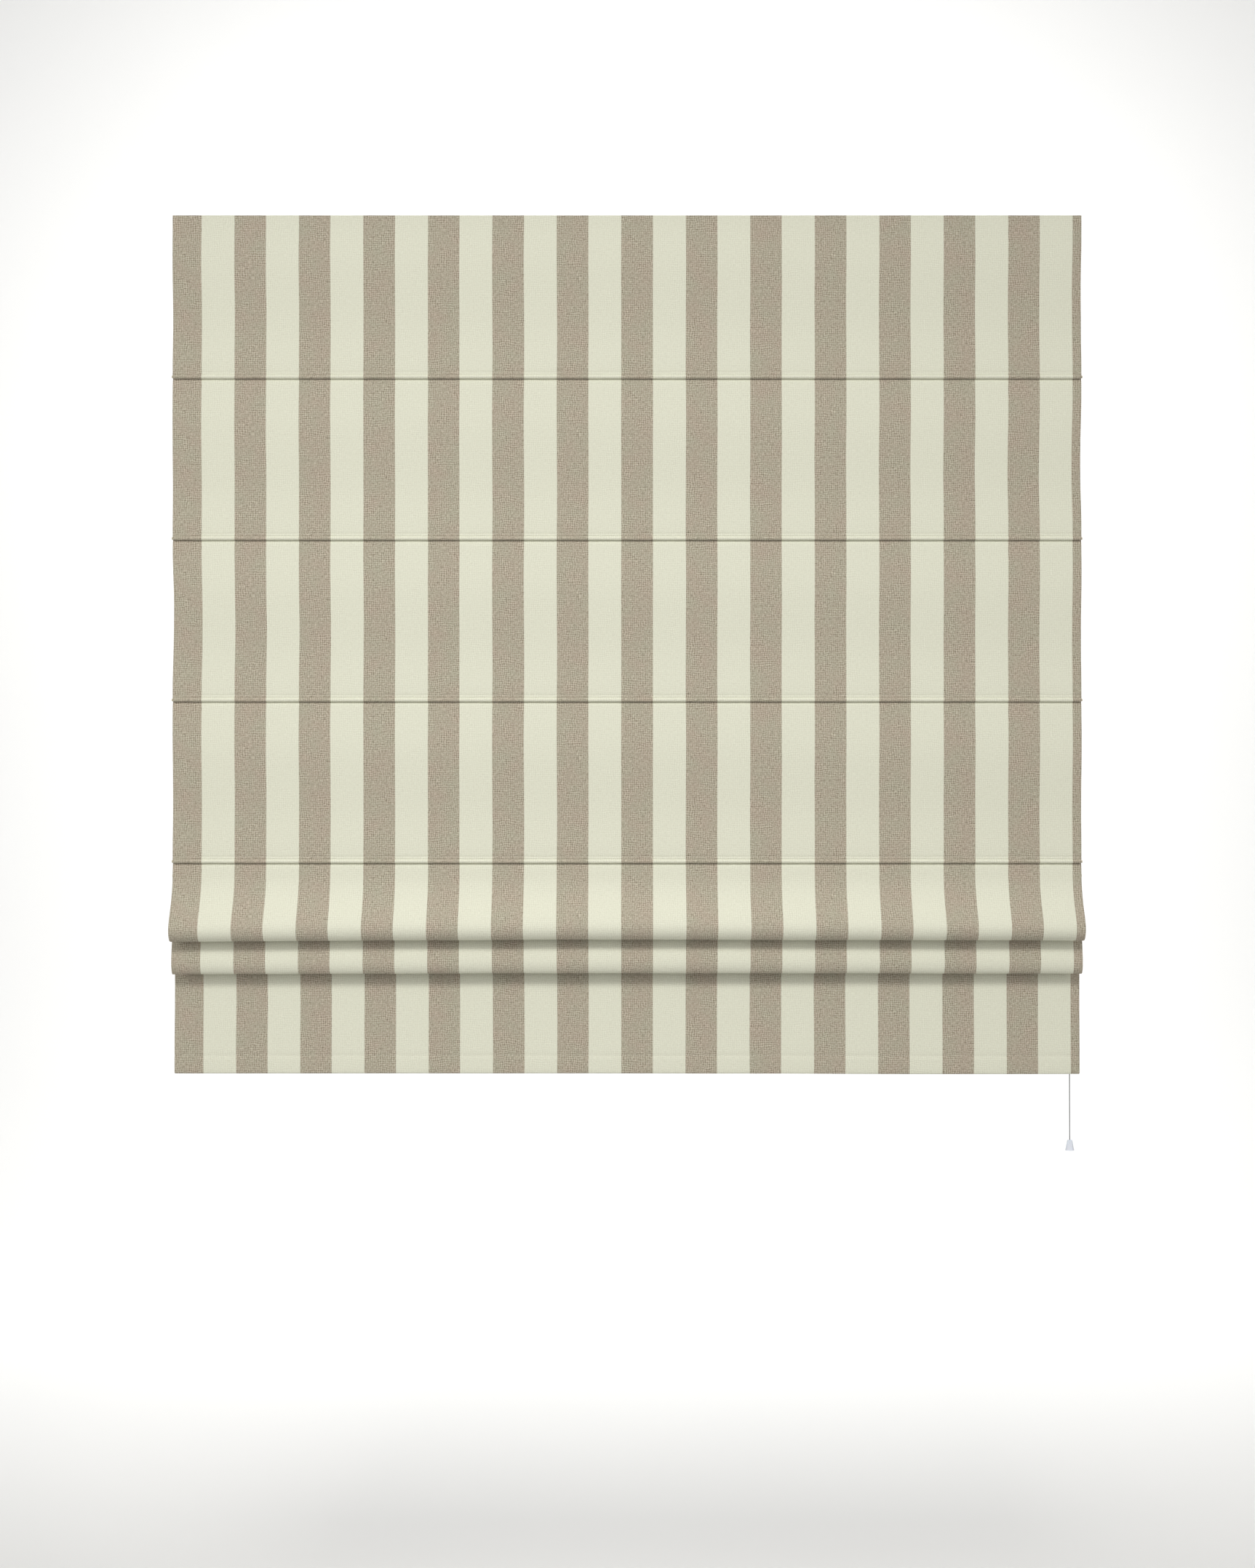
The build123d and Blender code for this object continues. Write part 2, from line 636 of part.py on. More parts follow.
# tassel: a hollow cone with a hole for the cord in its top
with BuildPart() as tassel:
    with BuildSketch(Plane.XZ.offset(-pull_depth)):
        with BuildLine():
            Polyline(
                (pull_x + hole, tassel_top),
                (pull_x + tassel_top_radius, tassel_top),
                (pull_x + tassel_base_radius, tassel_bottom),
                (pull_x + tassel_base_radius - tassel_wall, tassel_bottom),
                (pull_x + tassel_top_radius - tassel_wall, tassel_top - 1.5 * tassel_wall),
                (pull_x + hole, tassel_top - 1.5 * tassel_wall),
                close=True,
            )
        make_face()
    revolve(axis=Axis((pull_x, pull_depth, 0), (0, 0, 1)))
    top_circles = tassel.edges().filter_by(GeomType.CIRCLE).group_by(Axis.Z)[-1]
    fillet(top_circles.sort_by(SortBy.RADIUS)[-1], radius=tassel_corner)
save(tassel, "tassel")

# pull cord: straight down from the joiner to the tassel, with a knot inside each
upper_knot = cup_bottom + 3 * joiner_wall + knot_gap + knot_radius
lower_knot = tassel_top - 1.5 * tassel_wall - knot_gap - knot_radius
with BuildPart() as pull_cord:
    with BuildSketch(Plane.XY.offset(lower_knot)):
        with Locations((pull_x, pull_depth)):
            Circle(pull_cord_radius)
    extrude(amount=upper_knot - lower_knot)
    with Locations((pull_x, pull_depth, lower_knot), (pull_x, pull_depth, upper_knot)):
        Sphere(knot_radius)
save(pull_cord, "pull_cord")
print(f"pull_cord length {upper_knot - lower_knot:.1f}, one straight run")
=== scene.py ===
import bpy
import math
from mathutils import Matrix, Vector, noise


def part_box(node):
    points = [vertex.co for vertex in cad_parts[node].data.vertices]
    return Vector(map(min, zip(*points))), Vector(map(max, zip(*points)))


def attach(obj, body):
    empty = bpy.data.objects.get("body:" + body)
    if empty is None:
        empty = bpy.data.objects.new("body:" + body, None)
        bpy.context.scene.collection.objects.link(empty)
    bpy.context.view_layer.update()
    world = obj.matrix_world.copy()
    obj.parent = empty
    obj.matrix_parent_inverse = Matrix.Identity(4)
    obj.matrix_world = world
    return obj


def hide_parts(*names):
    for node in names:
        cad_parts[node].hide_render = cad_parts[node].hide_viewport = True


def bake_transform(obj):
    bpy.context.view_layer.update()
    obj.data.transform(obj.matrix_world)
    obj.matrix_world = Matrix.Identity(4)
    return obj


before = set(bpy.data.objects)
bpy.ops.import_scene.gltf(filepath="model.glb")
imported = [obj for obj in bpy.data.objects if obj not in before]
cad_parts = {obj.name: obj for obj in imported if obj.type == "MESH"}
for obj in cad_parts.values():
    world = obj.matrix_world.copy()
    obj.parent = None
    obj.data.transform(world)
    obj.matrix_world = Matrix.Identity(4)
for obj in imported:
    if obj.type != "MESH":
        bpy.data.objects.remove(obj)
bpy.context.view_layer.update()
mm = 0.001
bpy.context.scene.view_settings.view_transform = "Standard"  # hex colours come out as they are typed

# places read from the frame
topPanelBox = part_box("cloth_panel_1")
clothLeft = topPanelBox[0].x
clothRight = topPanelBox[1].x
clothWidth = clothRight - clothLeft
clothTop = topPanelBox[1].z
clothY = (topPanelBox[0].y + topPanelBox[1].y) / 2
rowCount = 6
panelCount = 4
rods = [(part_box(f"rod_{n}")[0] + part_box(f"rod_{n}")[1]) / 2 for n in range(1, rowCount + 1)]
rodRadius = (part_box("rod_1")[1].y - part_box("rod_1")[0].y) / 2
panelDrop = rods[0].z - rods[1].z
barLow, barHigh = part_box("weight_bar")
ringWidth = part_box("rings_row_1")[1].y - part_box("rings_row_1")[0].y
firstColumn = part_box("rings_row_1")[0].x + ringWidth / 2
columnStep = -2 * firstColumn / 3
columns = [firstColumn + columnStep * n for n in range(4)]


# small helpers
def pickNone():
    bpy.ops.object.select_all(action="DESELECT")
    bpy.context.view_layer.objects.active = None


def pickOnly(piece):
    pickNone()
    piece.select_set(True)
    bpy.context.view_layer.objects.active = piece


def nameIt(piece, name, material):
    piece.name = name
    piece.data.name = name
    piece.data.materials.clear()
    piece.data.materials.append(material)
    return piece


def settle(piece):
    # moves the object's place into its mesh, so that its origin is the frame's
    pickOnly(piece)
    bpy.ops.object.transform_apply(location=True, rotation=True, scale=True)
    return piece


def joinPieces(pieces):
    pickOnly(pieces[0])
    for piece in pieces[1:]:
        piece.select_set(True)
    bpy.ops.object.join()
    return bpy.context.object


def linear(hexColour):
    # a typed sRGB colour as the linear one that shaders use
    parts = [int(hexColour[n:n + 2], 16) / 255 for n in (1, 3, 5)]
    return [c / 12.92 if c <= 0.04045 else ((c + 0.055) / 1.055) ** 2.4 for c in parts] + [1.0]


def addNode(tree, kind, inputs=None, **settings):
    node = tree.nodes.new("ShaderNode" + kind)
    for key, value in settings.items():
        setattr(node, key, value)
    for key, value in (inputs or {}).items():
        if isinstance(value, bpy.types.NodeSocket):
            tree.links.new(value, node.inputs[key])
        else:
            node.inputs[key].default_value = value
    return node


def startMaterial(name, **fixed):
    material = bpy.data.materials.new(name)
    material.use_nodes = True
    tree = material.node_tree
    shader = tree.nodes["Principled BSDF"]
    for key, value in fixed.items():
        shader.inputs[key.replace("_", " ")].default_value = value
    return material, tree, shader


# materials
# Yarn-dyed plain-weave cotton: matt, a little fuzzy, with thick and thin places in the yarns that show most
# where taupe warp crosses cream weft.
clothLook = {
    "lightColour": "#EBE9DC",
    "lightShade": "#D9D6C7",
    "darkColour": "#837A69",
    "darkFleck": "#D2CBBB",
    "stripePeriod": 99.35 * mm,
    "darkWidth": 48.8 * mm,
    "firstDarkEdge": 95.7 * mm,  # from the cloth's left edge
    "stripeBlur": 0.5 * mm,
    "yarnPitch": 3.3 * mm,  # real yarns are about 1 mm apart, and these are drawn coarser so that they show
    "yarnWander": 2.2,  # how many yarns the grid strays by
    "slub": 1.3 * mm,
    "slubLength": 5.0 * mm,
    "slubPlace": (3.7, 1.9, 0),  # sets the weft's slubs apart from the warp's
    "slubStrength": 1.1,
    "edgeWander": 1.5 * mm,  # how far a stripe's edge strays
    "edgePatch": 1000 / 6 * mm,  # the patches here and below: 6, 55, 38 and 24 to the metre
    "gridPatch": 1000 / 55 * mm,
    "clearPatch": 1000 / 38 * mm,
    "blotchPatch": 1000 / 24 * mm,
    "gridFaint": 0.05,  # how much of the grid shows where it is plainest, and where it is clearest
    "gridClear": 0.24,
    "fleckSpan": 0.62,  # how far thick and thin yarns lie from the middle tone
    "coolTint": "#FCFFFA",
    "warmTint": "#FFF8F6",
    "relief": 0.3 * mm,
}


def makeClothMaterial():
    look = clothLook
    material, tree, shader = startMaterial(
        "yarn_dyed_cotton", Roughness=0.92, Sheen_Weight=0.12, Sheen_Roughness=0.6, Specular_IOR_Level=0.25
    )
    flat = addNode(tree, "UVMap", uv_map="cloth").outputs["UV"]
    wander = addNode(tree, "TexNoise", {"Vector": flat, "Scale": 1 / look["edgePatch"], "Detail": 1.0})
    parts = addNode(tree, "SeparateXYZ", {"Vector": flat})
    shift = addNode(
        tree, "Math", {0: wander.outputs["Fac"], 1: look["edgeWander"], 2: parts.outputs["X"]},
        operation="MULTIPLY_ADD",
    )
    fromEdge = addNode(tree, "Math", {0: shift.outputs[0], 1: look["firstDarkEdge"]}, operation="SUBTRACT")
    turns = addNode(tree, "Math", {0: fromEdge.outputs[0], 1: look["stripePeriod"]}, operation="DIVIDE")
    phase = addNode(tree, "Math", {0: turns.outputs[0], 1: 1.0, 2: 0.0}, operation="WRAP")
    share = look["darkWidth"] / look["stripePeriod"]
    aside = addNode(tree, "Math", {0: phase.outputs[0], 1: share / 2}, operation="SUBTRACT")
    away = addNode(tree, "Math", {0: aside.outputs[0]}, operation="ABSOLUTE")
    blur = look["stripeBlur"] / look["stripePeriod"]
    isDark = addNode(
        tree, "MapRange", {0: away.outputs[0], 1: share / 2 - blur, 2: share / 2 + blur, 3: 1.0, 4: 0.0}
    )

    # slubs: one noise drawn out along the warp and one along the weft
    fine = 1 / look["slub"]
    long = 1 / look["slubLength"]
    warpPlace = addNode(tree, "Mapping", {"Vector": flat, "Scale": (fine, long, 1.0)})
    weftPlace = addNode(
        tree, "Mapping", {"Vector": flat, "Scale": (long, fine, 1.0), "Location": look["slubPlace"]}
    )
    warp, weft = [
        addNode(tree, "TexNoise", {"Vector": place.outputs[0], "Scale": 1.0, "Detail": 1.0, "Roughness": 0.6})
        for place in (warpPlace, weftPlace)
    ]
    slubs = addNode(tree, "Math", {0: warp.outputs["Fac"], 1: weft.outputs["Fac"]}, operation="SUBTRACT")

    # the grid of the yarns, which wanders and is plainer in some places than in others
    drift = addNode(tree, "TexNoise", {"Vector": flat, "Scale": 1 / look["gridPatch"], "Detail": 2.0})
    driftParts = addNode(tree, "SeparateColor", {"Color": drift.outputs["Color"]})
    lines = []
    for axis, channel in (("X", "Red"), ("Y", "Green")):
        turnsAlong = addNode(
            tree, "Math", {0: parts.outputs[axis], 1: 2 * math.pi / look["yarnPitch"]}, operation="MULTIPLY"
        )
        strays = {0: driftParts.outputs[channel], 1: 2 * math.pi * look["yarnWander"], 2: turnsAlong.outputs[0]}
        wandered = addNode(tree, "Math", strays, operation="MULTIPLY_ADD")
        lines.append(addNode(tree, "Math", {0: wandered.outputs[0]}, operation="SINE"))
    grid = addNode(tree, "Math", {0: lines[0].outputs[0], 1: lines[1].outputs[0]}, operation="ADD")
    clearPlace = addNode(tree, "TexNoise", {"Vector": flat, "Scale": 1 / look["clearPatch"], "Detail": 1.0})
    shown = {0: clearPlace.outputs["Fac"], 1: 0.35, 2: 0.65, 3: look["gridFaint"], 4: look["gridClear"]}
    clear = addNode(tree, "MapRange", shown)
    shownGrid = addNode(tree, "Math", {0: grid.outputs[0], 1: clear.outputs[0]}, operation="MULTIPLY")
    weave = addNode(
        tree, "Math", {0: slubs.outputs[0], 1: look["slubStrength"], 2: shownGrid.outputs[0]},
        operation="MULTIPLY_ADD",
    )
    span = look["fleckSpan"]
    fleck = addNode(tree, "MapRange", {0: weave.outputs[0], 1: -span, 2: span, 3: 0.0, 4: 1.0})
    blotchPlace = addNode(tree, "TexNoise", {"Vector": flat, "Scale": 1 / look["blotchPatch"], "Detail": 3.0})
    blotch = addNode(tree, "MapRange", {0: blotchPlace.outputs["Fac"], 1: 0.3, 2: 0.7, 3: 0.0, 4: 1.0})

    # taupe warp under cream weft in the dark stripes, cream on cream in the light ones
    darkTone, lightTone = [
        addNode(
            tree, "Mix", {0: fleck.outputs[0], 6: linear(look[low]), 7: linear(look[high])}, data_type="RGBA"
        )
        for low, high in (("darkColour", "darkFleck"), ("lightShade", "lightColour"))
    ]
    stripes = addNode(
        tree, "Mix", {0: isDark.outputs[0], 6: lightTone.outputs[2], 7: darkTone.outputs[2]}, data_type="RGBA"
    )
    warmPlaces = addNode(tree, "Math", {0: blotch.outputs[0], 1: isDark.outputs[0]}, operation="MULTIPLY")
    tints = {0: warmPlaces.outputs[0], 6: linear(look["coolTint"]), 7: linear(look["warmTint"])}
    tint = addNode(tree, "Mix", tints, data_type="RGBA")
    tinted = {0: 1.0, 6: stripes.outputs[2], 7: tint.outputs[2]}
    dyed = addNode(tree, "Mix", tinted, data_type="RGBA", blend_type="MULTIPLY")
    tree.links.new(dyed.outputs[2], shader.inputs["Base Color"])

    bump = addNode(tree, "Bump", {"Height": fleck.outputs[0], "Strength": 0.6, "Distance": look["relief"]})
    tree.links.new(bump.outputs[0], shader.inputs["Normal"])
    return material


plainPatch = 1000 / 30 * mm  # broad patches of slightly different shade, 30 to the metre


def makePlain(
    name, colour, otherColour, grain, relief, roughness, roughnessRange=0.08, stretch=(1, 1, 1), **fixed
):
    # a solid finish whose colour, roughness and relief all vary with one fine noise, grain metres across
    material, tree, shader = startMaterial(name, **fixed)
    place = addNode(tree, "TexCoord")
    scale = tuple(s / grain for s in stretch)
    mapping = addNode(tree, "Mapping", {"Vector": place.outputs["Object"], "Scale": scale})
    grains = addNode(
        tree, "TexNoise", {"Vector": mapping.outputs[0], "Scale": 1.0, "Detail": 3.0, "Roughness": 0.6}
    )
    broad = addNode(
        tree, "TexNoise", {"Vector": place.outputs["Object"], "Scale": 1 / plainPatch, "Detail": 2.0}
    )
    both = addNode(tree, "Math", {0: grains.outputs["Fac"], 1: broad.outputs["Fac"]}, operation="MULTIPLY")
    spread = addNode(tree, "MapRange", {0: both.outputs[0], 1: 0.1, 2: 0.4, 3: 0.0, 4: 1.0})
    colours = addNode(
        tree, "Mix", {0: spread.outputs[0], 6: linear(colour), 7: linear(otherColour)}, data_type="RGBA"
    )
    tree.links.new(colours.outputs[2], shader.inputs["Base Color"])
    smooth, rough = roughness - roughnessRange, roughness + roughnessRange
    gloss = addNode(tree, "MapRange", {0: grains.outputs["Fac"], 1: 0.25, 2: 0.75, 3: smooth, 4: rough})
    tree.links.new(gloss.outputs[0], shader.inputs["Roughness"])
    bump = addNode(tree, "Bump", {"Height": grains.outputs["Fac"], "Strength": 0.6, "Distance": relief})
    tree.links.new(bump.outputs[0], shader.inputs["Normal"])
    return material


def makeBraid(name, colour, painted_gap_shade, braidLength, strands):
    # braided cord: two sets of strands wind round it in opposite ways, with painted shade darkening the gaps
    # between them
    material, tree, shader = startMaterial(name, Roughness=0.6, Sheen_Weight=0.2)
    flat = addNode(tree, "UVMap", uv_map="cord")
    parts = addNode(tree, "SeparateXYZ", {"Vector": flat.outputs["UV"]})
    around = addNode(tree, "Math", {0: parts.outputs["X"], 1: 2 * math.pi * strands}, operation="MULTIPLY")
    along = addNode(tree, "Math", {0: parts.outputs["Y"], 1: 2 * math.pi / braidLength}, operation="MULTIPLY")
    windings = []
    for way in ("ADD", "SUBTRACT"):
        turns = addNode(tree, "Math", {0: around.outputs[0], 1: along.outputs[0]}, operation=way)
        windings.append(addNode(tree, "Math", {0: turns.outputs[0]}, operation="SINE"))
    diamonds = addNode(
        tree, "Math", {0: windings[0].outputs[0], 1: windings[1].outputs[0]}, operation="MULTIPLY"
    )
    tone = addNode(tree, "MapRange", {0: diamonds.outputs[0], 1: -0.6, 2: 0.5, 3: 0.0, 4: 1.0})
    # the second colour is painted shade, laid in the gaps between strands; the cord's yarn is one colour
    colours = addNode(tree, "Mix", {0: tone.outputs[0], 6: linear(painted_gap_shade), 7: linear(colour)}, data_type="RGBA")
    tree.links.new(colours.outputs[2], shader.inputs["Base Color"])
    bump = addNode(tree, "Bump", {"Height": tone.outputs[0], "Strength": 0.7, "Distance": 0.1 * mm})
    tree.links.new(bump.outputs[0], shader.inputs["Normal"])
    return material


cotton = makeClothMaterial()
# Mill-finish extruded aluminium: a soft metal shine, with fine die lines along its length.
railMetal = makePlain(
    "extruded_aluminium", "#C6C8CA", "#D6D7D9", 0.5 * mm, 0.01 * mm, 0.34, stretch=(0.01, 1, 1), Metallic=1.0
)
# Rolled aluminium bar: greyer and a little duller than the rail.
barMetal = makePlain(
    "rolled_aluminium_bar", "#BFC1C4", "#CDCED0", 0.6 * mm, 0.01 * mm, 0.4, stretch=(0.02, 1, 1), Metallic=1.0
)
# Woven hook-and-loop tape: a dense nap that scatters light evenly.
napTape = makePlain(
    "nylon_hook_and_loop", "#D8D8D3", "#EDEDE9", 0.9 * mm, 0.5 * mm, 0.9, 0.05, Sheen_Weight=0.3
)
# Injection-moulded ABS: a fine satin texture with a soft highlight.
whiteAbs = makePlain("moulded_white_abs", "#E2E2DD", "#EBEBE7", 0.4 * mm, 0.015 * mm, 0.42, Coat_Weight=0.05)
greyAbs = makePlain("moulded_grey_abs", "#8C8F91", "#9A9C9E", 0.4 * mm, 0.015 * mm, 0.45)
# Moulded acetal: waxy and a little glossier than the housings.
acetal = makePlain("moulded_acetal_wheel", "#DAD9D2", "#E4E3DD", 0.5 * mm, 0.006 * mm, 0.26, 0.05)
# Powder-coated steel: white with a gentle orange-peel surface.
powderCoat = makePlain("powder_coated_steel", "#E0E0DC", "#E8E8E5", 1.6 * mm, 0.04 * mm, 0.36)
# Turned steel pins: bright, with lines from the lathe round them.
turnedSteel = makePlain(
    "turned_steel", "#A9AAAC", "#BFC0C2", 0.3 * mm, 0.008 * mm, 0.28, stretch=(1, 0.3, 1), Metallic=1.0
)
# Clear-white moulded rings: glossy, and slightly milky.
ringPlastic = makePlain("moulded_ring_plastic", "#DFDFD8", "#E9E9E3", 0.6 * mm, 0.008 * mm, 0.25, 0.06)
# Pultruded fibreglass: straw-white, with glass fibres running along it.
fibreglass = makePlain(
    "pultruded_fibreglass", "#C9C3AC", "#DDD8C6", 0.35 * mm, 0.03 * mm, 0.5, stretch=(0.02, 1, 1)
)
# Moulded polypropylene tassel: bluish white and waxy, with light passing a little way into it.
tasselPlastic = makePlain(
    "moulded_polypropylene", "#E9ECF8", "#F2F4FC", 0.8 * mm, 0.01 * mm, 0.3, 0.05, Subsurface_Weight=0.15
)
# Spun polyester sewing thread: matt cream.
threadLook = makePlain(
    "spun_sewing_thread", "#CFCBB9", "#DEDBCB", 0.3 * mm, 0.05 * mm, 0.8, 0.05, Sheen_Weight=0.2
)
# each braid's second colour is painted shade for the gaps between its strands
liftBraid = makeBraid("braided_lift_cord", "#D9D8D2", "#B5B4AD", 2.4 * mm, 4)
pullBraid = makeBraid("braided_pull_cord", "#77767B", "#4E4D52", 3.0 * mm, 4)
print("materials made")

finishes = {
    "headrail": railMetal, "weight_bar": barMetal, "hook_tape": napTape, "loop_tape": napTape,
    "end_cap": whiteAbs, "bracket": powderCoat, "latch": greyAbs, "guide_housing": whiteAbs,
    "guide_axle": turnedSteel, "guide_wheel": acetal, "lock_housing": whiteAbs, "lock_pin": turnedSteel,
    "lock_roller": turnedSteel, "rod": fibreglass, "rings": ringPlastic, "joiner": whiteAbs,
    "tassel": tasselPlastic,
}
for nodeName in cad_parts:
    for start, material in finishes.items():
        if nodeName.startswith(start):
            node = bpy.data.objects[nodeName]
            for place in node.material_slots:
                place.material = material
            if not node.material_slots:
                node.data.materials.append(material)
print("CAD nodes have their finishes")

# cloth: a line in Y and Z swept across the width, with narrow side hems turned to the back
clothCut = {
    "thickness": 0.8 * mm,
    "cell": 13 * mm,
    "longestStep": 8 * mm,
    "hemWidth": 6.0 * mm,
    "hemDepth": 0.95 * mm,
    "hemBand": 5.0 * mm,  # from the side edge to the hem's row of stitches, which lies in a small dent
    "hemDent": 0.12 * mm,
    "hemRound": 0.6 * mm,
    "lobeForward": 3.0 * mm,  # how far each panel bellies out towards the room, then back
    "lobeBack": 1.2 * mm,
    "forwardAt": 0.3,  # shares of the drop between two rods
    "backAt": 0.72,
    "rippleDepth": 0.9 * mm,
    "broadRipples": (2.3, 3.1),  # noise cells to the metre, across and along
    "smallRipples": (9.0, 6.0),
    "smallShare": 0.35,
    "sideRipples": (3.0, 9.0),  # how unevenly the side edges pull in
    "sidePull": [(0.9, 2.0), (0.6, 2.8), (3.6, 1.0), (1.1, 0.5)],  # in mm, each panel's left and right
}
rodWrap = rodRadius + 0.15 * mm + clothCut["thickness"] / 2


def smoothLine(points, longest):
    # a smooth line through the points, in steps no longer than this
    ends = [2 * Vector(points[0]) - Vector(points[1])] + [Vector(p) for p in points]
    ends.append(2 * Vector(points[-1]) - Vector(points[-2]))
    line = []
    for n in range(1, len(ends) - 2):
        p0, p1, p2, p3 = ends[n - 1:n + 3]
        t1 = (p1 - p0).length ** 0.5
        t2 = t1 + (p2 - p1).length ** 0.5
        t3 = t2 + (p3 - p2).length ** 0.5
        steps = max(2, math.ceil((p2 - p1).length / longest))
        for k in range(steps):
            t = t1 + (t2 - t1) * k / steps
            a1 = (t1 - t) / t1 * p0 + t / t1 * p1
            a2 = (t2 - t) / (t2 - t1) * p1 + (t - t1) / (t2 - t1) * p2
            a3 = (t3 - t) / (t3 - t2) * p2 + (t - t2) / (t3 - t2) * p3
            b1 = (t2 - t) / t2 * a1 + t / t2 * a2
            b2 = (t3 - t) / (t3 - t1) * a2 + (t - t1) / (t3 - t1) * a3
            line.append((t2 - t) / (t2 - t1) * b1 + (t - t1) / (t2 - t1) * b2)
    line.append(Vector(points[-1]))
    return line


def clothColumns():
    # places across the cloth, each with how far behind the front layer it lies: the hems turn to the back
    cut = clothCut
    deep, band, curve = cut["hemDepth"], cut["hemBand"], cut["hemRound"]
    left = [(cut["hemWidth"], deep), (curve, deep), (0.0, deep / 2), (curve, 0.0)]
    left += [(band - curve, 0.0), (band, cut["hemDent"]), (band + curve, 0.0)]
    inner = clothWidth - 2 * cut["cell"]
    cells = round(inner / cut["cell"])
    middle = [(cut["cell"] + inner * n / cells, 0.0) for n in range(cells + 1)]
    right = [(clothWidth - across, behind) for across, behind in reversed(left)]
    return left + middle + right


clothAcross = clothColumns()


def bump01(t):
    # nothing at 0 and 1, one in the middle
    return math.sin(math.pi * min(max(t, 0.0), 1.0)) ** 2


def makeSheet(name, points, zone, seed, lowerEdge=None, pull=(0.2, 0.3)):
    # zone is the stretch along the line that ripples and narrows, free of the rods at its ends
    line = smoothLine(points, clothCut["longestStep"])
    along = [0.0]
    for before, after in zip(line, line[1:]):
        along.append(along[-1] + (after - before).length)
    total = along[-1]
    lastColumn = len(clothAcross) - 1
    lastRow = len(line) - 1
    pickNone()
    bpy.ops.mesh.primitive_grid_add(x_subdivisions=lastColumn, y_subdivisions=lastRow, size=1)
    piece = bpy.context.object
    acrossBroad, alongBroad = clothCut["broadRipples"]
    acrossSmall, alongSmall = clothCut["smallRipples"]
    acrossSide, alongSide = clothCut["sideRipples"]
    cells = {}
    for vertex in piece.data.vertices:
        column = round((vertex.co.x + 0.5) * lastColumn)
        row = round((0.5 - vertex.co.y) * lastRow)
        cells[vertex.index] = (column, row)
        across, behind = clothAcross[column]
        before = line[max(row - 1, 0)]
        after = line[min(row + 1, lastRow)]
        heading = (after - before).normalized()
        x = clothLeft + across
        y = line[row].x - heading.y * behind
        z = line[row].y + heading.x * behind
        t = (along[row] - zone[0]) / (zone[1] - zone[0])
        calm = bump01(t)
        broad = noise.noise(Vector((x * acrossBroad, along[row] * alongBroad, seed)))
        small = noise.noise(Vector((x * acrossSmall, along[row] * alongSmall, seed + 5.0)))
        y += clothCut["rippleDepth"] * calm * (broad + clothCut["smallShare"] * small)
        side = (across / clothWidth) * 2 - 1
        uneven = 0.75 + 0.5 * noise.noise(Vector((side * acrossSide, along[row] * alongSide, seed + 9.0)))
        inward = (pull[0] if side < 0 else pull[1]) * mm * calm * uneven * abs(side) ** 3
        x -= math.copysign(inward, side)
        if lowerEdge:
            z += lowerEdge(side, t)
        vertex.co = (x, y, z)
    uvMap = piece.data.uv_layers[0]
    uvMap.name = "cloth"
    for loop in piece.data.loops:
        column, row = cells[loop.vertex_index]
        across, behind = clothAcross[column]
        turned = 0.0
        if behind == clothCut["hemDepth"]:  # the hem's back layer lies beyond the edge on the flat cloth
            turned = -2 * across if column < lastColumn / 2 else 2 * (clothWidth - across)
        uvMap.data[loop.index].uv = (across + turned, -along[row])
    pickOnly(piece)
    bpy.ops.object.shade_smooth()
    wall = piece.modifiers.new("cloth thickness", "SOLIDIFY")
    wall.thickness = clothCut["thickness"]
    wall.offset = 0.0
    nameIt(piece, name, cotton)
    return piece, total


tuckShape = {
    # over the stitches and down to the rod: millimetres up from its middle, and behind it
    "front": [
        (22, 0.0), (13, -0.15), (8.6, 0.0), (7.4, 0.35), (6.2, -0.2), (4.4, -0.35), (3.5, 0.1), (2.6, -0.6),
    ],
    "roundRod": (154, 178, 205, 235, 265, 300, 335, 5),  # degrees: 180 is the front and 270 is straight down
    "upBehind": [(3.0, 2.0), (7.2, 1.35)],
    # the next panel starts behind the tuck and comes forward under it: millimetres up, and millimetres back or
    # the share that is left of its distance behind the rod
    "nextTop": (7.6, 2.2),
    "behindRod": [(2.6, -0.3), (-0.2, 0.0)],
    "comesForward": [(-2.9, 0.76), (-5.4, 0.42), (-9.5, 0.14), (-18, 0)],
    "gap": 0.12 * mm,
}


def aroundRod(rod, reach, turns):
    # places round a rod, at a distance from its middle
    angles = [math.radians(turn) for turn in turns]
    return [(rod.y + reach * math.cos(a), rod.z + reach * math.sin(a)) for a in angles]


def tuckFront(rod):
    # from the panel above, over the stitches and the front of the rod, round under it and up behind
    points = [(rod.y + behind * mm, rod.z + up * mm) for up, behind in tuckShape["front"]]
    points += aroundRod(rod, rodWrap, tuckShape["roundRod"])
    points += [(rod.y + behind * mm, rod.z + up * mm) for up, behind in tuckShape["upBehind"]]
    return points


def tuckBack(rod):
    # the next panel starts at the stitches, behind the tuck, and comes forward under it
    y, z = rod.y, rod.z
    behind = rodWrap + clothCut["thickness"] + tuckShape["gap"]
    up, back = tuckShape["nextTop"]
    points = [(y + back * mm, z + up * mm)]
    points += [(y + behind + back * mm, z + up * mm) for up, back in tuckShape["behindRod"]]
    points += [(y + share * behind, z + up * mm) for up, share in tuckShape["comesForward"]]
    return points


for n in range(1, panelCount + 1):
    rod = rods[n - 1]
    if n == 1:
        points = [(clothY, clothTop), (clothY, clothTop - 1.2 * mm), (clothY, clothTop - 22 * mm)]
        upper = clothTop
    else:
        upper = rods[n - 2].z
        points = tuckBack(rods[n - 2])
    points += [
        (clothY - clothCut["lobeForward"], upper - clothCut["forwardAt"] * panelDrop),
        (clothY + clothCut["lobeBack"], upper - clothCut["backAt"] * panelDrop),
    ]
    points += tuckFront(rod)
    piece, total = makeSheet(
        f"panel_{n}", points, (15 * mm, panelDrop - 12 * mm), 11.0 * n, pull=clothCut["sidePull"][n - 1]
    )
    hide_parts(f"cloth_panel_{n}")
    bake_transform(piece)
    print(f"panel {n}: {total * 1000:.0f} mm long")

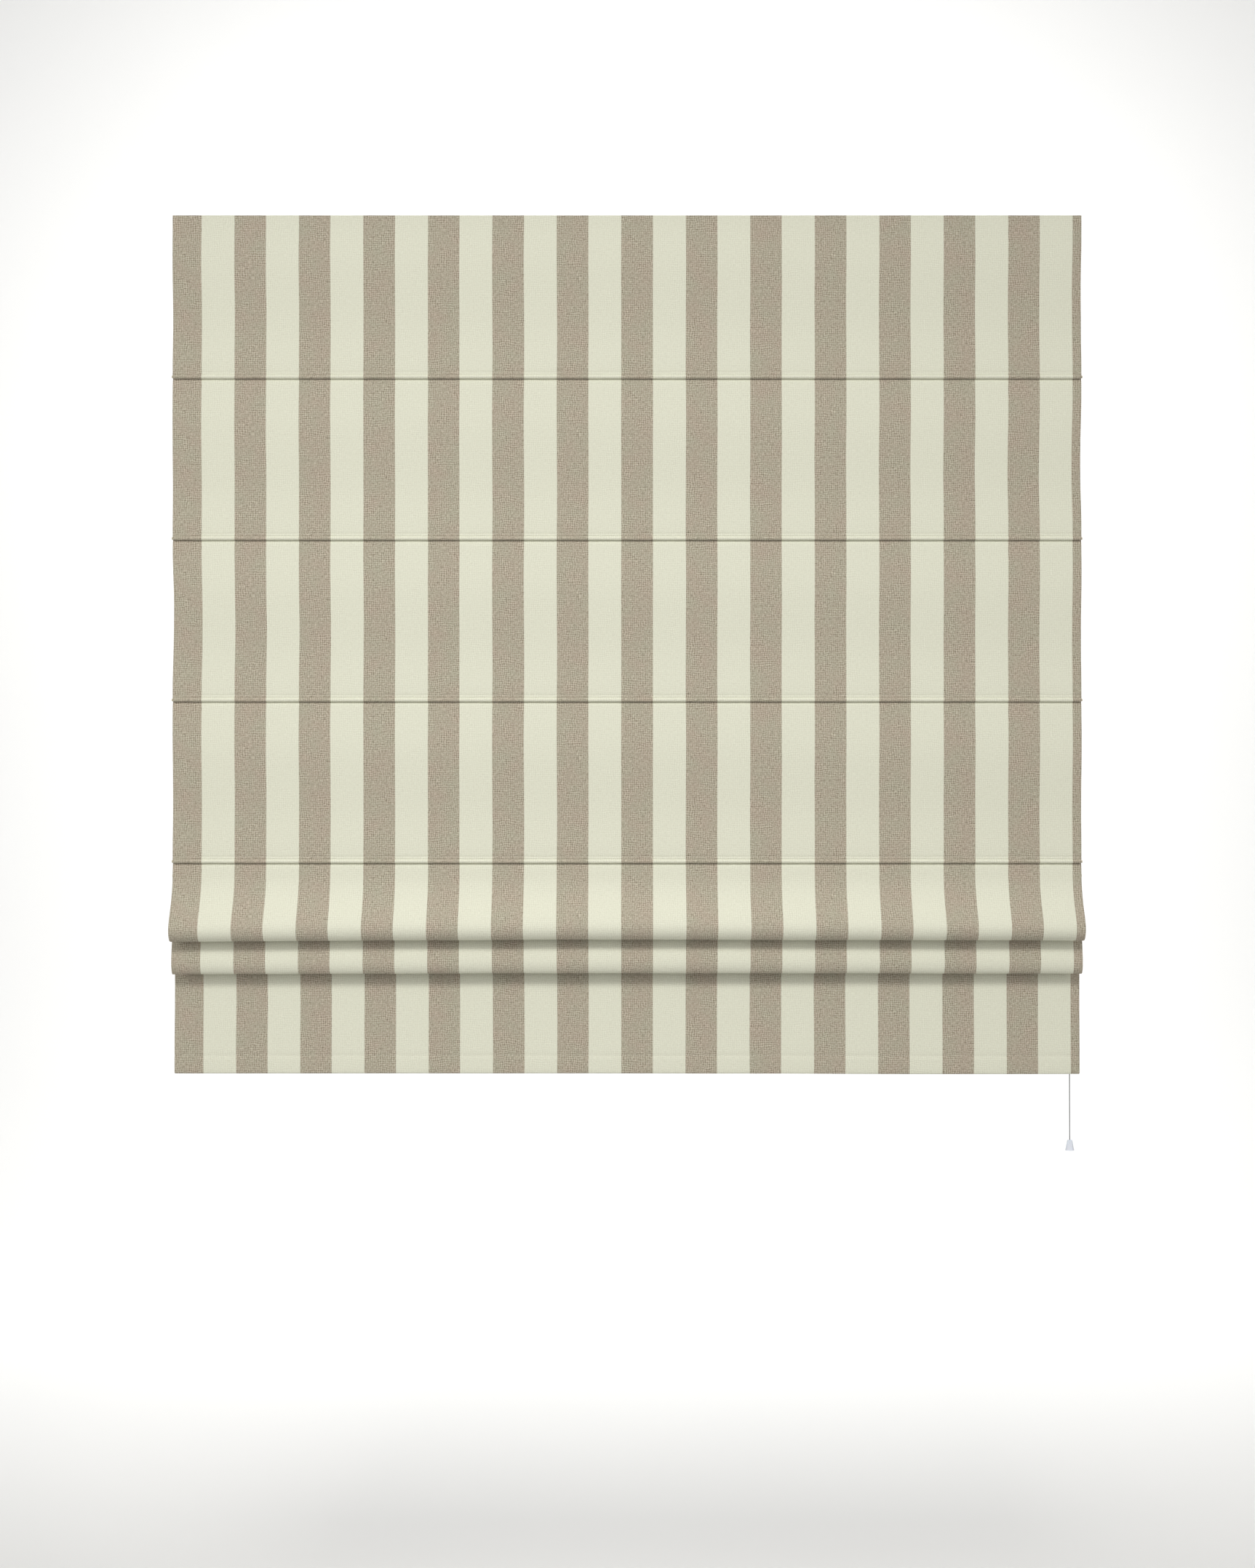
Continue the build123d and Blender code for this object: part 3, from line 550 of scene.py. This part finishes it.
# the two gathered folds
foldShape = {  # the lines and the starts are in mm from the fourth rod
    "upperLine": [  # forward, round the bottom and back up to the fifth
        (-1.2, -30), (-6.5, -48), (-15.5, -66), (-26, -82), (-32.6, -94), (-34.6, -102), (-33.2, -110),
        (-28.6, -117), (-23, -120.2), (-18.2, -118.6), (-16.2, -112), (-11.8, -92), (-6.1, -66), (-1.0, -43),
    ],
    "lowerLine": [  # down behind the upper fold, forward under it and back up to the sixth
        (3.0, -40), (-1.4, -68), (-4.6, -98), (-6.8, -122), (-10.4, -140), (-12.0, -152), (-11.4, -161),
        (-8.4, -168.5), (-4.4, -172.4), (-0.8, -171), (0.6, -165), (2.6, -145), (5.2, -120),
    ],
    # how the front edge hangs lower at its ends than in its middle, in mm
    "upperEdge": {
        "left": 3.6, "right": 1.6, "power": 1.6, "rise": 1.7, "ripple": 0.6, "waves": 4.0, "seed": (2.0, 7.0),
    },
    "lowerEdge": {
        "left": 2.6, "right": 1.2, "power": 1.4, "rise": 1.2, "ripple": 0.5, "waves": 5.0, "seed": (8.0, 3.0),
    },
    # where the back layer starts to follow the rod below, and the way across the fold
    "upperStretch": {"start": (-16.2, -112), "across": (0, 5.4, -1.0)},
    "lowerStretch": {"start": (0.6, -165), "across": (0, 14.0, -1.0)},
    "rodFront": (-3.2, -3),  # in mm from the rod below
    "sleeve": (222, 182, 145, 110, 75, 40, 5, -30),  # degrees: from under a rod's front over its top
    "gap": 0.3 * mm,
    "upperZone": (35 * mm, 215 * mm),
    "lowerZone": (40 * mm, 225 * mm),
}


def underRod(rod):
    # one place outside the sleeve, where the fold's line meets it
    return aroundRod(rod, rodWrap + clothCut["thickness"] + foldShape["gap"], foldShape["sleeve"][:1])


def rodSleeve(rod):
    return aroundRod(rod, rodWrap, foldShape["sleeve"])


def fromFourth(line):
    return [(rods[3].y + forward * mm, rods[3].z + down * mm) for forward, down in line]


def hangingEdge(edge):
    # how far the fold's front edge drops at each place across the cloth
    def drop(side, t):
        low = (edge["left"] if side < 0 else edge["right"]) * abs(side) ** edge["power"] - edge["rise"]
        ripple = edge["ripple"] * noise.noise(Vector((side * edge["waves"], *edge["seed"])))
        return -(low + ripple) * mm * bump01(t)

    return drop


fifth, sixth = rods[4], rods[5]
points = tuckBack(rods[3])[:-1] + fromFourth(foldShape["upperLine"]) + underRod(fifth)
frontEdge = hangingEdge(foldShape["upperEdge"])
piece, total = makeSheet("fold_upper", points, foldShape["upperZone"], 61.0, frontEdge)
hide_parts("cloth_fold_upper")
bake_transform(piece)

points = rodSleeve(fifth) + fromFourth(foldShape["lowerLine"]) + underRod(sixth)
frontEdge = hangingEdge(foldShape["lowerEdge"])
piece, total = makeSheet("fold_lower", points, foldShape["lowerZone"], 71.0, frontEdge)
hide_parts("cloth_fold_lower")
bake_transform(piece)
print("folds made")

# the straight bottom piece, with its hem turned up round the weight bar
bottomShape = {
    "hemRise": 28 * mm,  # from the hem's lower edge to its row of stitches
    "sag": 1.2 * mm,
    "sagPlace": 0.75,  # where the hem hangs lowest: 0 is the middle of the cloth and 1 its right edge
    "sagWidth": 0.35,
}
hemFront = barLow.y - 0.3 * mm - clothCut["thickness"] / 2
hemBack = barHigh.y + 0.3 * mm + clothCut["thickness"] / 2
hemLow = barLow.z - 0.5 * mm - clothCut["thickness"] / 2
stitchZ = hemLow + bottomShape["hemRise"]


def hemSag(side, t):
    low = math.exp(-((side - bottomShape["sagPlace"]) / bottomShape["sagWidth"]) ** 2)
    uneven = 0.3 * noise.noise(Vector((side * 3, 4, 4)))
    return -bottomShape["sag"] * (low + uneven) * min(max(t, 0), 1)


points = rodSleeve(sixth)[:5]
points += [
    (sixth.y + rodWrap + 0.2 * mm, sixth.z - 0.5 * mm), (hemFront + 0.6 * mm, sixth.z - 12 * mm),
    (hemFront + 0.2 * mm, sixth.z - 60 * mm), (hemFront + 0.9 * mm, sixth.z - 130 * mm),
    (hemFront + 0.6 * mm, stitchZ + 20 * mm), (hemFront + 0.3 * mm, stitchZ + 4 * mm),
    (hemFront + 0.75 * mm, stitchZ), (hemFront + 0.1 * mm, stitchZ - 4 * mm), (hemFront, stitchZ - 12 * mm),
    (hemFront, hemLow + 2.2 * mm), (hemFront + 0.7 * mm, hemLow + 0.4 * mm), ((hemFront + hemBack) / 2, hemLow),
    (hemBack - 0.7 * mm, hemLow + 0.4 * mm), (hemBack, hemLow + 2.2 * mm), (hemBack, stitchZ - 10 * mm),
    (hemBack - 1.2 * mm, stitchZ - 2 * mm), (hemFront + 2.2 * mm, stitchZ + 1.0 * mm),
    (hemFront + 1.9 * mm, stitchZ + 3 * mm),
]
piece, total = makeSheet("bottom_piece", points, (12 * mm, 200 * mm), 81.0, hemSag, (0.8, 0.5))
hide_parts("cloth_bottom")
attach(piece, "row_6")
print("bottom piece made")

# stitches along each tuck and along the hem
stitchShape = {
    "length": 3.2 * mm,
    "pitch": 4.4 * mm,
    "thread": 0.42 * mm,
    "inset": 7.0 * mm,
    # places behind and above the rod, or the hem's front and the height of its stitches
    "tuckFront": (0.35 * mm, 7.4 * mm),
    "tuckBack": (2.2 * mm, 7.2 * mm),
    "hemFront": (0.75 * mm, 0.0),
    "hemBack": (2.3 * mm, 1.0 * mm),
}


def stitchRow(y, z):
    # one stitch is shaped, then repeated across the cloth
    pickNone()
    bpy.ops.mesh.primitive_uv_sphere_add(segments=6, ring_count=5, radius=0.5, location=(0, 0, 0))
    stitch = bpy.context.object
    stitch.rotation_euler = (0, math.pi / 2, 0)
    settle(stitch)
    stitch.scale = (stitchShape["length"], stitchShape["thread"], stitchShape["thread"])
    settle(stitch)
    count = math.floor((clothWidth - 2 * stitchShape["inset"]) / stitchShape["pitch"])
    repeat = stitch.modifiers.new("repeat", "ARRAY")
    repeat.use_relative_offset = False
    repeat.use_constant_offset = True
    repeat.constant_offset_displace = (stitchShape["pitch"], 0, 0)
    repeat.count = count
    pickOnly(stitch)
    bpy.ops.object.modifier_apply(modifier="repeat")
    stitch.location = (-(count - 1) * stitchShape["pitch"] / 2, y, z)
    settle(stitch)
    bpy.ops.object.shade_smooth()
    return stitch


def stitchPair(name, y, z, front, back):
    # a row on the front of the cloth and one on its back
    halfCloth = clothCut["thickness"] / 2
    frontRow = stitchRow(y + front[0] - halfCloth, z + front[1])
    backRow = stitchRow(y + back[0] + halfCloth, z + back[1])
    return nameIt(joinPieces([frontRow, backRow]), name, threadLook)


for n in range(1, panelCount + 1):
    rod = rods[n - 1]
    stitches = stitchPair(f"tuck_stitches_{n}", rod.y, rod.z, stitchShape["tuckFront"], stitchShape["tuckBack"])
    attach(stitches, f"row_{n}")
stitches = stitchPair("hem_stitches", hemFront, stitchZ, stitchShape["hemFront"], stitchShape["hemBack"])
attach(stitches, "row_6")
print("stitches made")


# tubes along a line, for cords and threads
def tubeAlong(points, radius, sides, closed=False):
    line = [Vector(p) for p in points]
    count = len(line)
    normal = None
    verts, faces, lengths = [], [], [0.0]
    for n in range(count):
        before = line[n - 1] if n or closed else line[0]
        after = line[(n + 1) % count] if n < count - 1 or closed else line[-1]
        heading = (after - before).normalized()
        if normal is None:
            normal = heading.orthogonal().normalized()
        normal = (normal - heading * normal.dot(heading)).normalized()
        other = heading.cross(normal)
        for k in range(sides):
            a = 2 * math.pi * k / sides
            verts.append(line[n] + radius * (math.cos(a) * normal + math.sin(a) * other))
        if n:
            lengths.append(lengths[-1] + (line[n] - line[n - 1]).length)
    rings = count if closed else count - 1
    for n in range(rings):
        for k in range(sides):
            a, b = n * sides, ((n + 1) % count) * sides
            faces.append((a + k, a + (k + 1) % sides, b + (k + 1) % sides, b + k))
    if not closed:
        faces.append(tuple(reversed(range(sides))))
        faces.append(tuple(range((count - 1) * sides, count * sides)))
    mesh = bpy.data.meshes.new("tube")
    mesh.from_pydata(verts, [], faces)
    uvMap = mesh.uv_layers.new(name="cord")
    for face in mesh.polygons:
        for loopIndex, vertexIndex in zip(face.loop_indices, face.vertices):
            n, k = divmod(vertexIndex, sides)
            around = k / sides
            if face.index < rings * sides and face.index % sides == sides - 1 and k == 0:
                around = 1.0
            uvMap.data[loopIndex].uv = (around, lengths[n])
    piece = bpy.data.objects.new("tube", mesh)
    bpy.context.scene.collection.objects.link(piece)
    pickOnly(piece)
    bpy.ops.object.shade_smooth_by_angle(angle=math.radians(50))
    return piece


def splineLine(points, perSpan=8):
    # the points of a smooth curve that follows the route
    curve = bpy.data.curves.new("route", "CURVE")
    curve.dimensions = "3D"
    spline = curve.splines.new("NURBS")
    spline.points.add(len(points) - 1)
    for place, point in zip(spline.points, points):
        place.co = (*point, 1.0)
    spline.order_u = 3
    spline.use_endpoint_u = True
    spline.resolution_u = perSpan
    route = bpy.data.objects.new("route", curve)
    bpy.context.scene.collection.objects.link(route)
    bpy.context.view_layer.update()
    mesh = bpy.data.meshes.new_from_object(route.evaluated_get(bpy.context.evaluated_depsgraph_get()))
    line = [v.co.copy() for v in mesh.vertices]
    bpy.data.objects.remove(route)
    return line


def knotAt(x, y, z, knot):
    # an overhand knot: a cord wound twice round its own line
    turns = []
    for k in range(30):
        a = 2 * math.pi * k / 30
        away = knot["reach"] + knot["swing"] * math.cos(3 * a)
        rise = knot["height"] * math.sin(3 * a)
        turns.append((x + away * math.cos(2 * a), y + away * math.sin(2 * a), z + rise))
    return tubeAlong(turns, knot["radius"], 6, closed=True)


# lift cords: fixed routes through the rail, and straight runs between the rows of rings
liftCord = {
    "radius": 0.5 * mm,
    "sides": 8,
    "cordY": -29.5 * mm,
    "collarZ": 2.0 * mm,
    "wheelTop": 22.3 * mm,
    "levels": [28.1 * mm, 26.5 * mm, 24.9 * mm, 22.3 * mm],
    "spreadX": 615 * mm,
    "lockX": 651.8 * mm,
    "lockZ": 20.8 * mm,
    "lockY": [-17.55 * mm, -15.85 * mm, -14.15 * mm, -12.45 * mm],
    "pullX": 687.4 * mm,
    "railFloor": 6 * mm,  # where the cords leave the rail, down to the joiner
    "joinerTop": -64 * mm,
    "knotAbove": 1.7 * mm,  # the knot sits on top of the last ring
    "knot": {"reach": 1.05 * mm, "swing": 0.55 * mm, "height": 0.75 * mm, "radius": 0.475 * mm},
}
railRuns = []
tails = []
y = liftCord["cordY"]
wheelTop, lockZ, floorZ = liftCord["wheelTop"], liftCord["lockZ"], liftCord["railFloor"]
spreadX, lockX, pullX = liftCord["spreadX"], liftCord["lockX"], liftCord["pullX"]
for column, level, depth in zip(columns, liftCord["levels"], liftCord["lockY"]):
    route = [(column, y, liftCord["collarZ"]), (column, y, wheelTop - 5.5 * mm)]
    route += [(column, y, wheelTop - 1.6 * mm), (column + 1.6 * mm, y, wheelTop)]
    route += [(column + 5.5 * mm, y, wheelTop), (column + 9 * mm, y, wheelTop)]
    if level > wheelTop:
        route += [(column + 14 * mm, y, level), (column + 22 * mm, y, level)]
    route += [(spreadX - 4 * mm, y, level), (spreadX + 4 * mm, (9 * y + depth) / 10, (9 * level + lockZ) / 10)]
    route += [(lockX - 4 * mm, (y + 9 * depth) / 10, (level + 9 * lockZ) / 10)]
    route += [(lockX + 4 * mm, depth, lockZ), (pullX - 3.4 * mm, depth, lockZ)]
    route += [(pullX - 1 * mm, depth, lockZ - 0.2 * mm), (pullX, depth, lockZ - 1.4 * mm)]
    route += [(pullX, depth, lockZ - 5 * mm), (pullX, depth, floorZ)]
    railRuns.append(tubeAlong(splineLine(route), liftCord["radius"], liftCord["sides"]))
    drop = floorZ - liftCord["joinerTop"]
    tail = [(pullX, depth, floorZ - drop * k / 12) for k in range(13)]
    tails.append(tubeAlong(tail, liftCord["radius"], liftCord["sides"]))
piece = nameIt(joinPieces(railRuns), "lift_cords_in_rail", liftBraid)
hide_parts("lift_cord_1", "lift_cord_2", "lift_cord_3", "lift_cord_4")
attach(piece, "headrail")
piece = nameIt(joinPieces(tails), "lift_cord_tails", liftBraid)
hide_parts("lift_cord_1", "lift_cord_2", "lift_cord_3", "lift_cord_4")
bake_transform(piece)

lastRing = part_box("rings_row_6")
knotZ = lastRing[1].z + liftCord["knotAbove"]
stops = [liftCord["collarZ"]] + [rod.z for rod in rods[:-1]] + [knotZ]
for n in range(rowCount):
    runs = []
    for column in columns:
        upper, lower = stops[n], stops[n + 1]
        line = [(column, y, upper + (lower - upper) * k / 16) for k in range(17)]
        runs.append(tubeAlong(line, liftCord["radius"], liftCord["sides"]))
        if n == rowCount - 1:
            runs.append(knotAt(column, y, knotZ, liftCord["knot"]))
            end = [(column + 0.3 * mm * k, y + 0.12 * mm * k, knotZ - 1.2 * mm * k) for k in range(9)]
            runs.append(tubeAlong(end, liftCord["radius"], liftCord["sides"]))
    piece = nameIt(joinPieces(runs), f"lift_cord_runs_{n + 1}", liftBraid)
    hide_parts("lift_cord_1", "lift_cord_2", "lift_cord_3", "lift_cord_4")
    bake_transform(piece)
print("lift cords made")

# threads that hold each ring to its tuck
ringThread = {
    "loopRadius": 1.15 * mm,
    "thread": 0.24 * mm,
    "spread": 0.75 * mm,
}
for n in range(1, rowCount + 1):
    low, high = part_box(f"rings_row_{n}")
    loops = []
    for column in columns:
        for k in (-1, 0, 1):
            pickNone()
            bpy.ops.mesh.primitive_torus_add(
                major_segments=14, minor_segments=6, major_radius=ringThread["loopRadius"],
                minor_radius=ringThread["thread"],
            )
            loop = bpy.context.object
            loop.rotation_euler = (0, math.pi / 2, 0)
            settle(loop)
            if n < rowCount:
                y, z = low.y + 0.2 * mm, (low.z + high.z) / 2
            else:  # the last rings stand on their tuck, and the others lie flat behind theirs
                y, z = (low.y + high.y) / 2, low.z + 0.1 * mm
            loop.location = (column + k * ringThread["spread"], y, z)
            settle(loop)
            bpy.ops.object.shade_smooth()
            loops.append(loop)
    piece = nameIt(joinPieces(loops), f"ring_threads_{n}", threadLook)
    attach(piece, f"row_{n}")
print("ring threads made")

# pull cord and tassel
pullCord = {
    "radius": 0.75 * mm,
    "x": liftCord["pullX"],
    "y": -15.0 * mm,
    "top": -79.2 * mm,
    "bottom": -1393.75 * mm,
    "sway": 0.5 * mm,
    "knot": {"reach": 1.0 * mm, "swing": 0.45 * mm, "height": 0.7 * mm, "radius": 0.6 * mm},
}
tasselShape = {
    "sides": 28,
    # half of its outline, in mm from the axis and shares of its height: from the cord hole over the
    # shoulder, down the flare, round the rim and up the inside
    "outline": [
        (0.95, 1.0), (2.8, 1.0), (3.6, 0.99), (3.95, 0.95), (4.25, 0.85), (4.9, 0.65), (5.7, 0.4),
        (6.5, 0.16), (7.0, 0.03), (7.15, 0.012), (7.15, 0.0), (6.6, 0.0), (6.2, 0.02), (5.3, 0.3),
        (4.3, 0.6), (3.5, 0.82), (2.9, 0.88), (0.95, 0.88), (0.95, 1.0),
    ],
}
tasselLow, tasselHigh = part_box("tassel")
tasselTall = tasselHigh.z - tasselLow.z
outline = tasselShape["outline"]
pickNone()
bpy.ops.mesh.primitive_circle_add(
    vertices=tasselShape["sides"], radius=outline[0][0] * mm,
    location=(pullCord["x"], pullCord["y"], tasselHigh.z),
)
tassel = bpy.context.object
settle(tassel)
bpy.ops.object.mode_set(mode="EDIT")
bpy.ops.mesh.select_all(action="SELECT")
for (across, up), (nextAcross, nextUp) in zip(outline, outline[1:]):
    bpy.ops.mesh.extrude_region_move(TRANSFORM_OT_translate={"value": (0, 0, (nextUp - up) * tasselTall)})
    bpy.ops.transform.resize(
        value=(nextAcross / across, nextAcross / across, 1),
        center_override=(pullCord["x"], pullCord["y"], tasselLow.z + nextUp * tasselTall),
    )
bpy.ops.mesh.select_all(action="SELECT")
bpy.ops.mesh.remove_doubles(threshold=0.01 * mm)
bpy.ops.mesh.normals_make_consistent(inside=False)
bpy.ops.object.mode_set(mode="OBJECT")
bpy.ops.object.shade_smooth_by_angle(angle=math.radians(45))
finer = tassel.modifiers.new("finer", "SUBSURF")
finer.levels = 1
finer.render_levels = 1
nameIt(tassel, "tassel_bell", tasselPlastic)
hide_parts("tassel")
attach(tassel, "pull")

route = []
span = pullCord["bottom"] - pullCord["top"]
for share in (0.0, 0.04, 0.12, 0.24, 0.37, 0.5, 0.63, 0.76, 0.88, 0.96, 1.0):
    sway = pullCord["sway"] * math.sin(5.0 * share) * min(1.0, 14 * share, 14 * (1 - share))
    route.append((pullCord["x"] + sway, pullCord["y"], pullCord["top"] + span * share))
cordLine = splineLine(route)
cord = nameIt(tubeAlong(cordLine, pullCord["radius"], 10), "pull_cord_braid", pullBraid)
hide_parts("pull_cord")
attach(cord, "pull")
knots = [
    knotAt(pullCord["x"], pullCord["y"], pullCord[end], pullCord["knot"]) for end in ("top", "bottom")
]
pullKnots = nameIt(joinPieces(knots), "pull_cord_knots", pullBraid)
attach(pullKnots, "pull")
cordLength = sum((b - a).length for a, b in zip(cordLine, cordLine[1:]))
print(f"pull cord: {cordLength:.3f} m")

# floor, backdrop, lights and camera
studio = {  # sizes in metres
    "floorZ": -2.42,
    "wallY": 6.5,
    "cove": 2.2,
    "wide": 18.0,
    "near": -9.0,
    "tall": 7.5,
    "flatRows": 5,
    "coveRows": 30,
    "colour": "#F1F1F0",
    "mottle": "#EEEEED",
    "mottleSize": 1.25,
    "skyColour": "#FFFEFC",
    "skyStrength": 0.34,
}
cameraPlace = {
    "distance": 3.4,  # from the front of the flat cloth
    "x": 0.0007,
    "z": -0.8376,
    "frameHeight": 2.417,  # seen at the cloth
    "sensor": 36.0,
}
cove, flatRows, coveRows = studio["cove"], studio["flatRows"], studio["coveRows"]
stageRows = flatRows + coveRows + flatRows
pickNone()
bpy.ops.mesh.primitive_grid_add(x_subdivisions=1, y_subdivisions=stageRows, size=1)
stage = bpy.context.object
for vertex in stage.data.vertices:
    row = round((vertex.co.y + 0.5) * stageRows)
    if row <= flatRows:
        y = studio["near"] + (studio["wallY"] - cove - studio["near"]) * row / flatRows
        z = studio["floorZ"]
    elif row <= flatRows + coveRows:
        a = math.pi / 2 * (row - flatRows) / coveRows
        y = studio["wallY"] - cove + cove * math.sin(a)
        z = studio["floorZ"] + cove - cove * math.cos(a)
    else:
        y = studio["wallY"]
        z = studio["floorZ"] + cove + (studio["tall"] - cove) * (row - flatRows - coveRows) / flatRows
    vertex.co = (vertex.co.x * studio["wide"], y, z)
stage.name = "floor_and_backdrop"
pickOnly(stage)
bpy.ops.object.shade_smooth()
# Matt backdrop paper: almost no highlight, and very slightly mottled.
paper, tree, shader = startMaterial("matt_backdrop_paper", Roughness=0.95, Specular_IOR_Level=0.1)
place = addNode(tree, "TexCoord")
mottle = addNode(
    tree, "TexNoise", {"Vector": place.outputs["Object"], "Scale": 1 / studio["mottleSize"], "Detail": 2.0}
)
shades = {0: mottle.outputs["Fac"], 6: linear(studio["colour"]), 7: linear(studio["mottle"])}
tone = addNode(tree, "Mix", shades, data_type="RGBA")
tree.links.new(tone.outputs[2], shader.inputs["Base Color"])
stage.data.materials.append(paper)

world = bpy.data.worlds.new("studio")
bpy.context.scene.world = world
world.use_nodes = True
sky = world.node_tree.nodes["Background"]
sky.inputs["Color"].default_value = linear(studio["skyColour"])
sky.inputs["Strength"].default_value = studio["skyStrength"]

softboxes = {  # places and sizes in metres, power in watts, spread in degrees
    "high softbox": {
        "place": (-0.3, -3.6, 2.4), "aim": (0.0, 0.0, -1.35), "size": (1.4, 1.0), "power": 7.6, "spread": 50,
        "colour": "#FFFEFB",
    },
    "top softbox": {
        "place": (0.0, -2.6, 1.7), "aim": (0.0, 0.0, -1.15), "size": (2.4, 1.2), "power": 7.4, "spread": 100,
        "colour": "#FFFEFB",
    },
    "left softbox": {
        "place": (-2.7, -1.7, -0.3), "aim": (-0.6, 0.0, -0.9), "size": (1.2, 2.0), "power": 12.5, "spread": 120,
        "colour": "#FFFEFB",
    },
    "right softbox": {
        "place": (2.7, -1.7, -0.3), "aim": (0.6, 0.0, -0.9), "size": (1.2, 2.0), "power": 7.5, "spread": 120,
        "colour": "#FFFEFB",
    },
    "backdrop light": {
        "place": (0.0, 2.2, 1.6), "aim": (0.0, 6.5, -0.6), "size": (5.0, 1.5), "power": 260, "spread": 180,
        "colour": "#FFFFFF",
    },
}
for name, box in softboxes.items():
    light = bpy.data.lights.new(name, "AREA")
    light.shape = "RECTANGLE"
    light.size, light.size_y = box["size"]
    light.energy = box["power"]
    light.color = linear(box["colour"])[:3]
    light.spread = math.radians(box["spread"])
    lamp = bpy.data.objects.new(name, light)
    bpy.context.scene.collection.objects.link(lamp)
    lamp.location = box["place"]
    lamp.rotation_euler = (Vector(box["aim"]) - Vector(box["place"])).to_track_quat("-Z", "Y").to_euler()

lens = bpy.data.cameras.new("camera")
lens.sensor_width = cameraPlace["sensor"]
lens.lens = cameraPlace["sensor"] * cameraPlace["distance"] / cameraPlace["frameHeight"]
camera = bpy.data.objects.new("camera", lens)
bpy.context.scene.collection.objects.link(camera)
camera.location = (cameraPlace["x"], topPanelBox[0].y - cameraPlace["distance"], cameraPlace["z"])
camera.rotation_euler = (math.pi / 2, 0, 0)
bpy.context.scene.camera = camera
print("studio made")
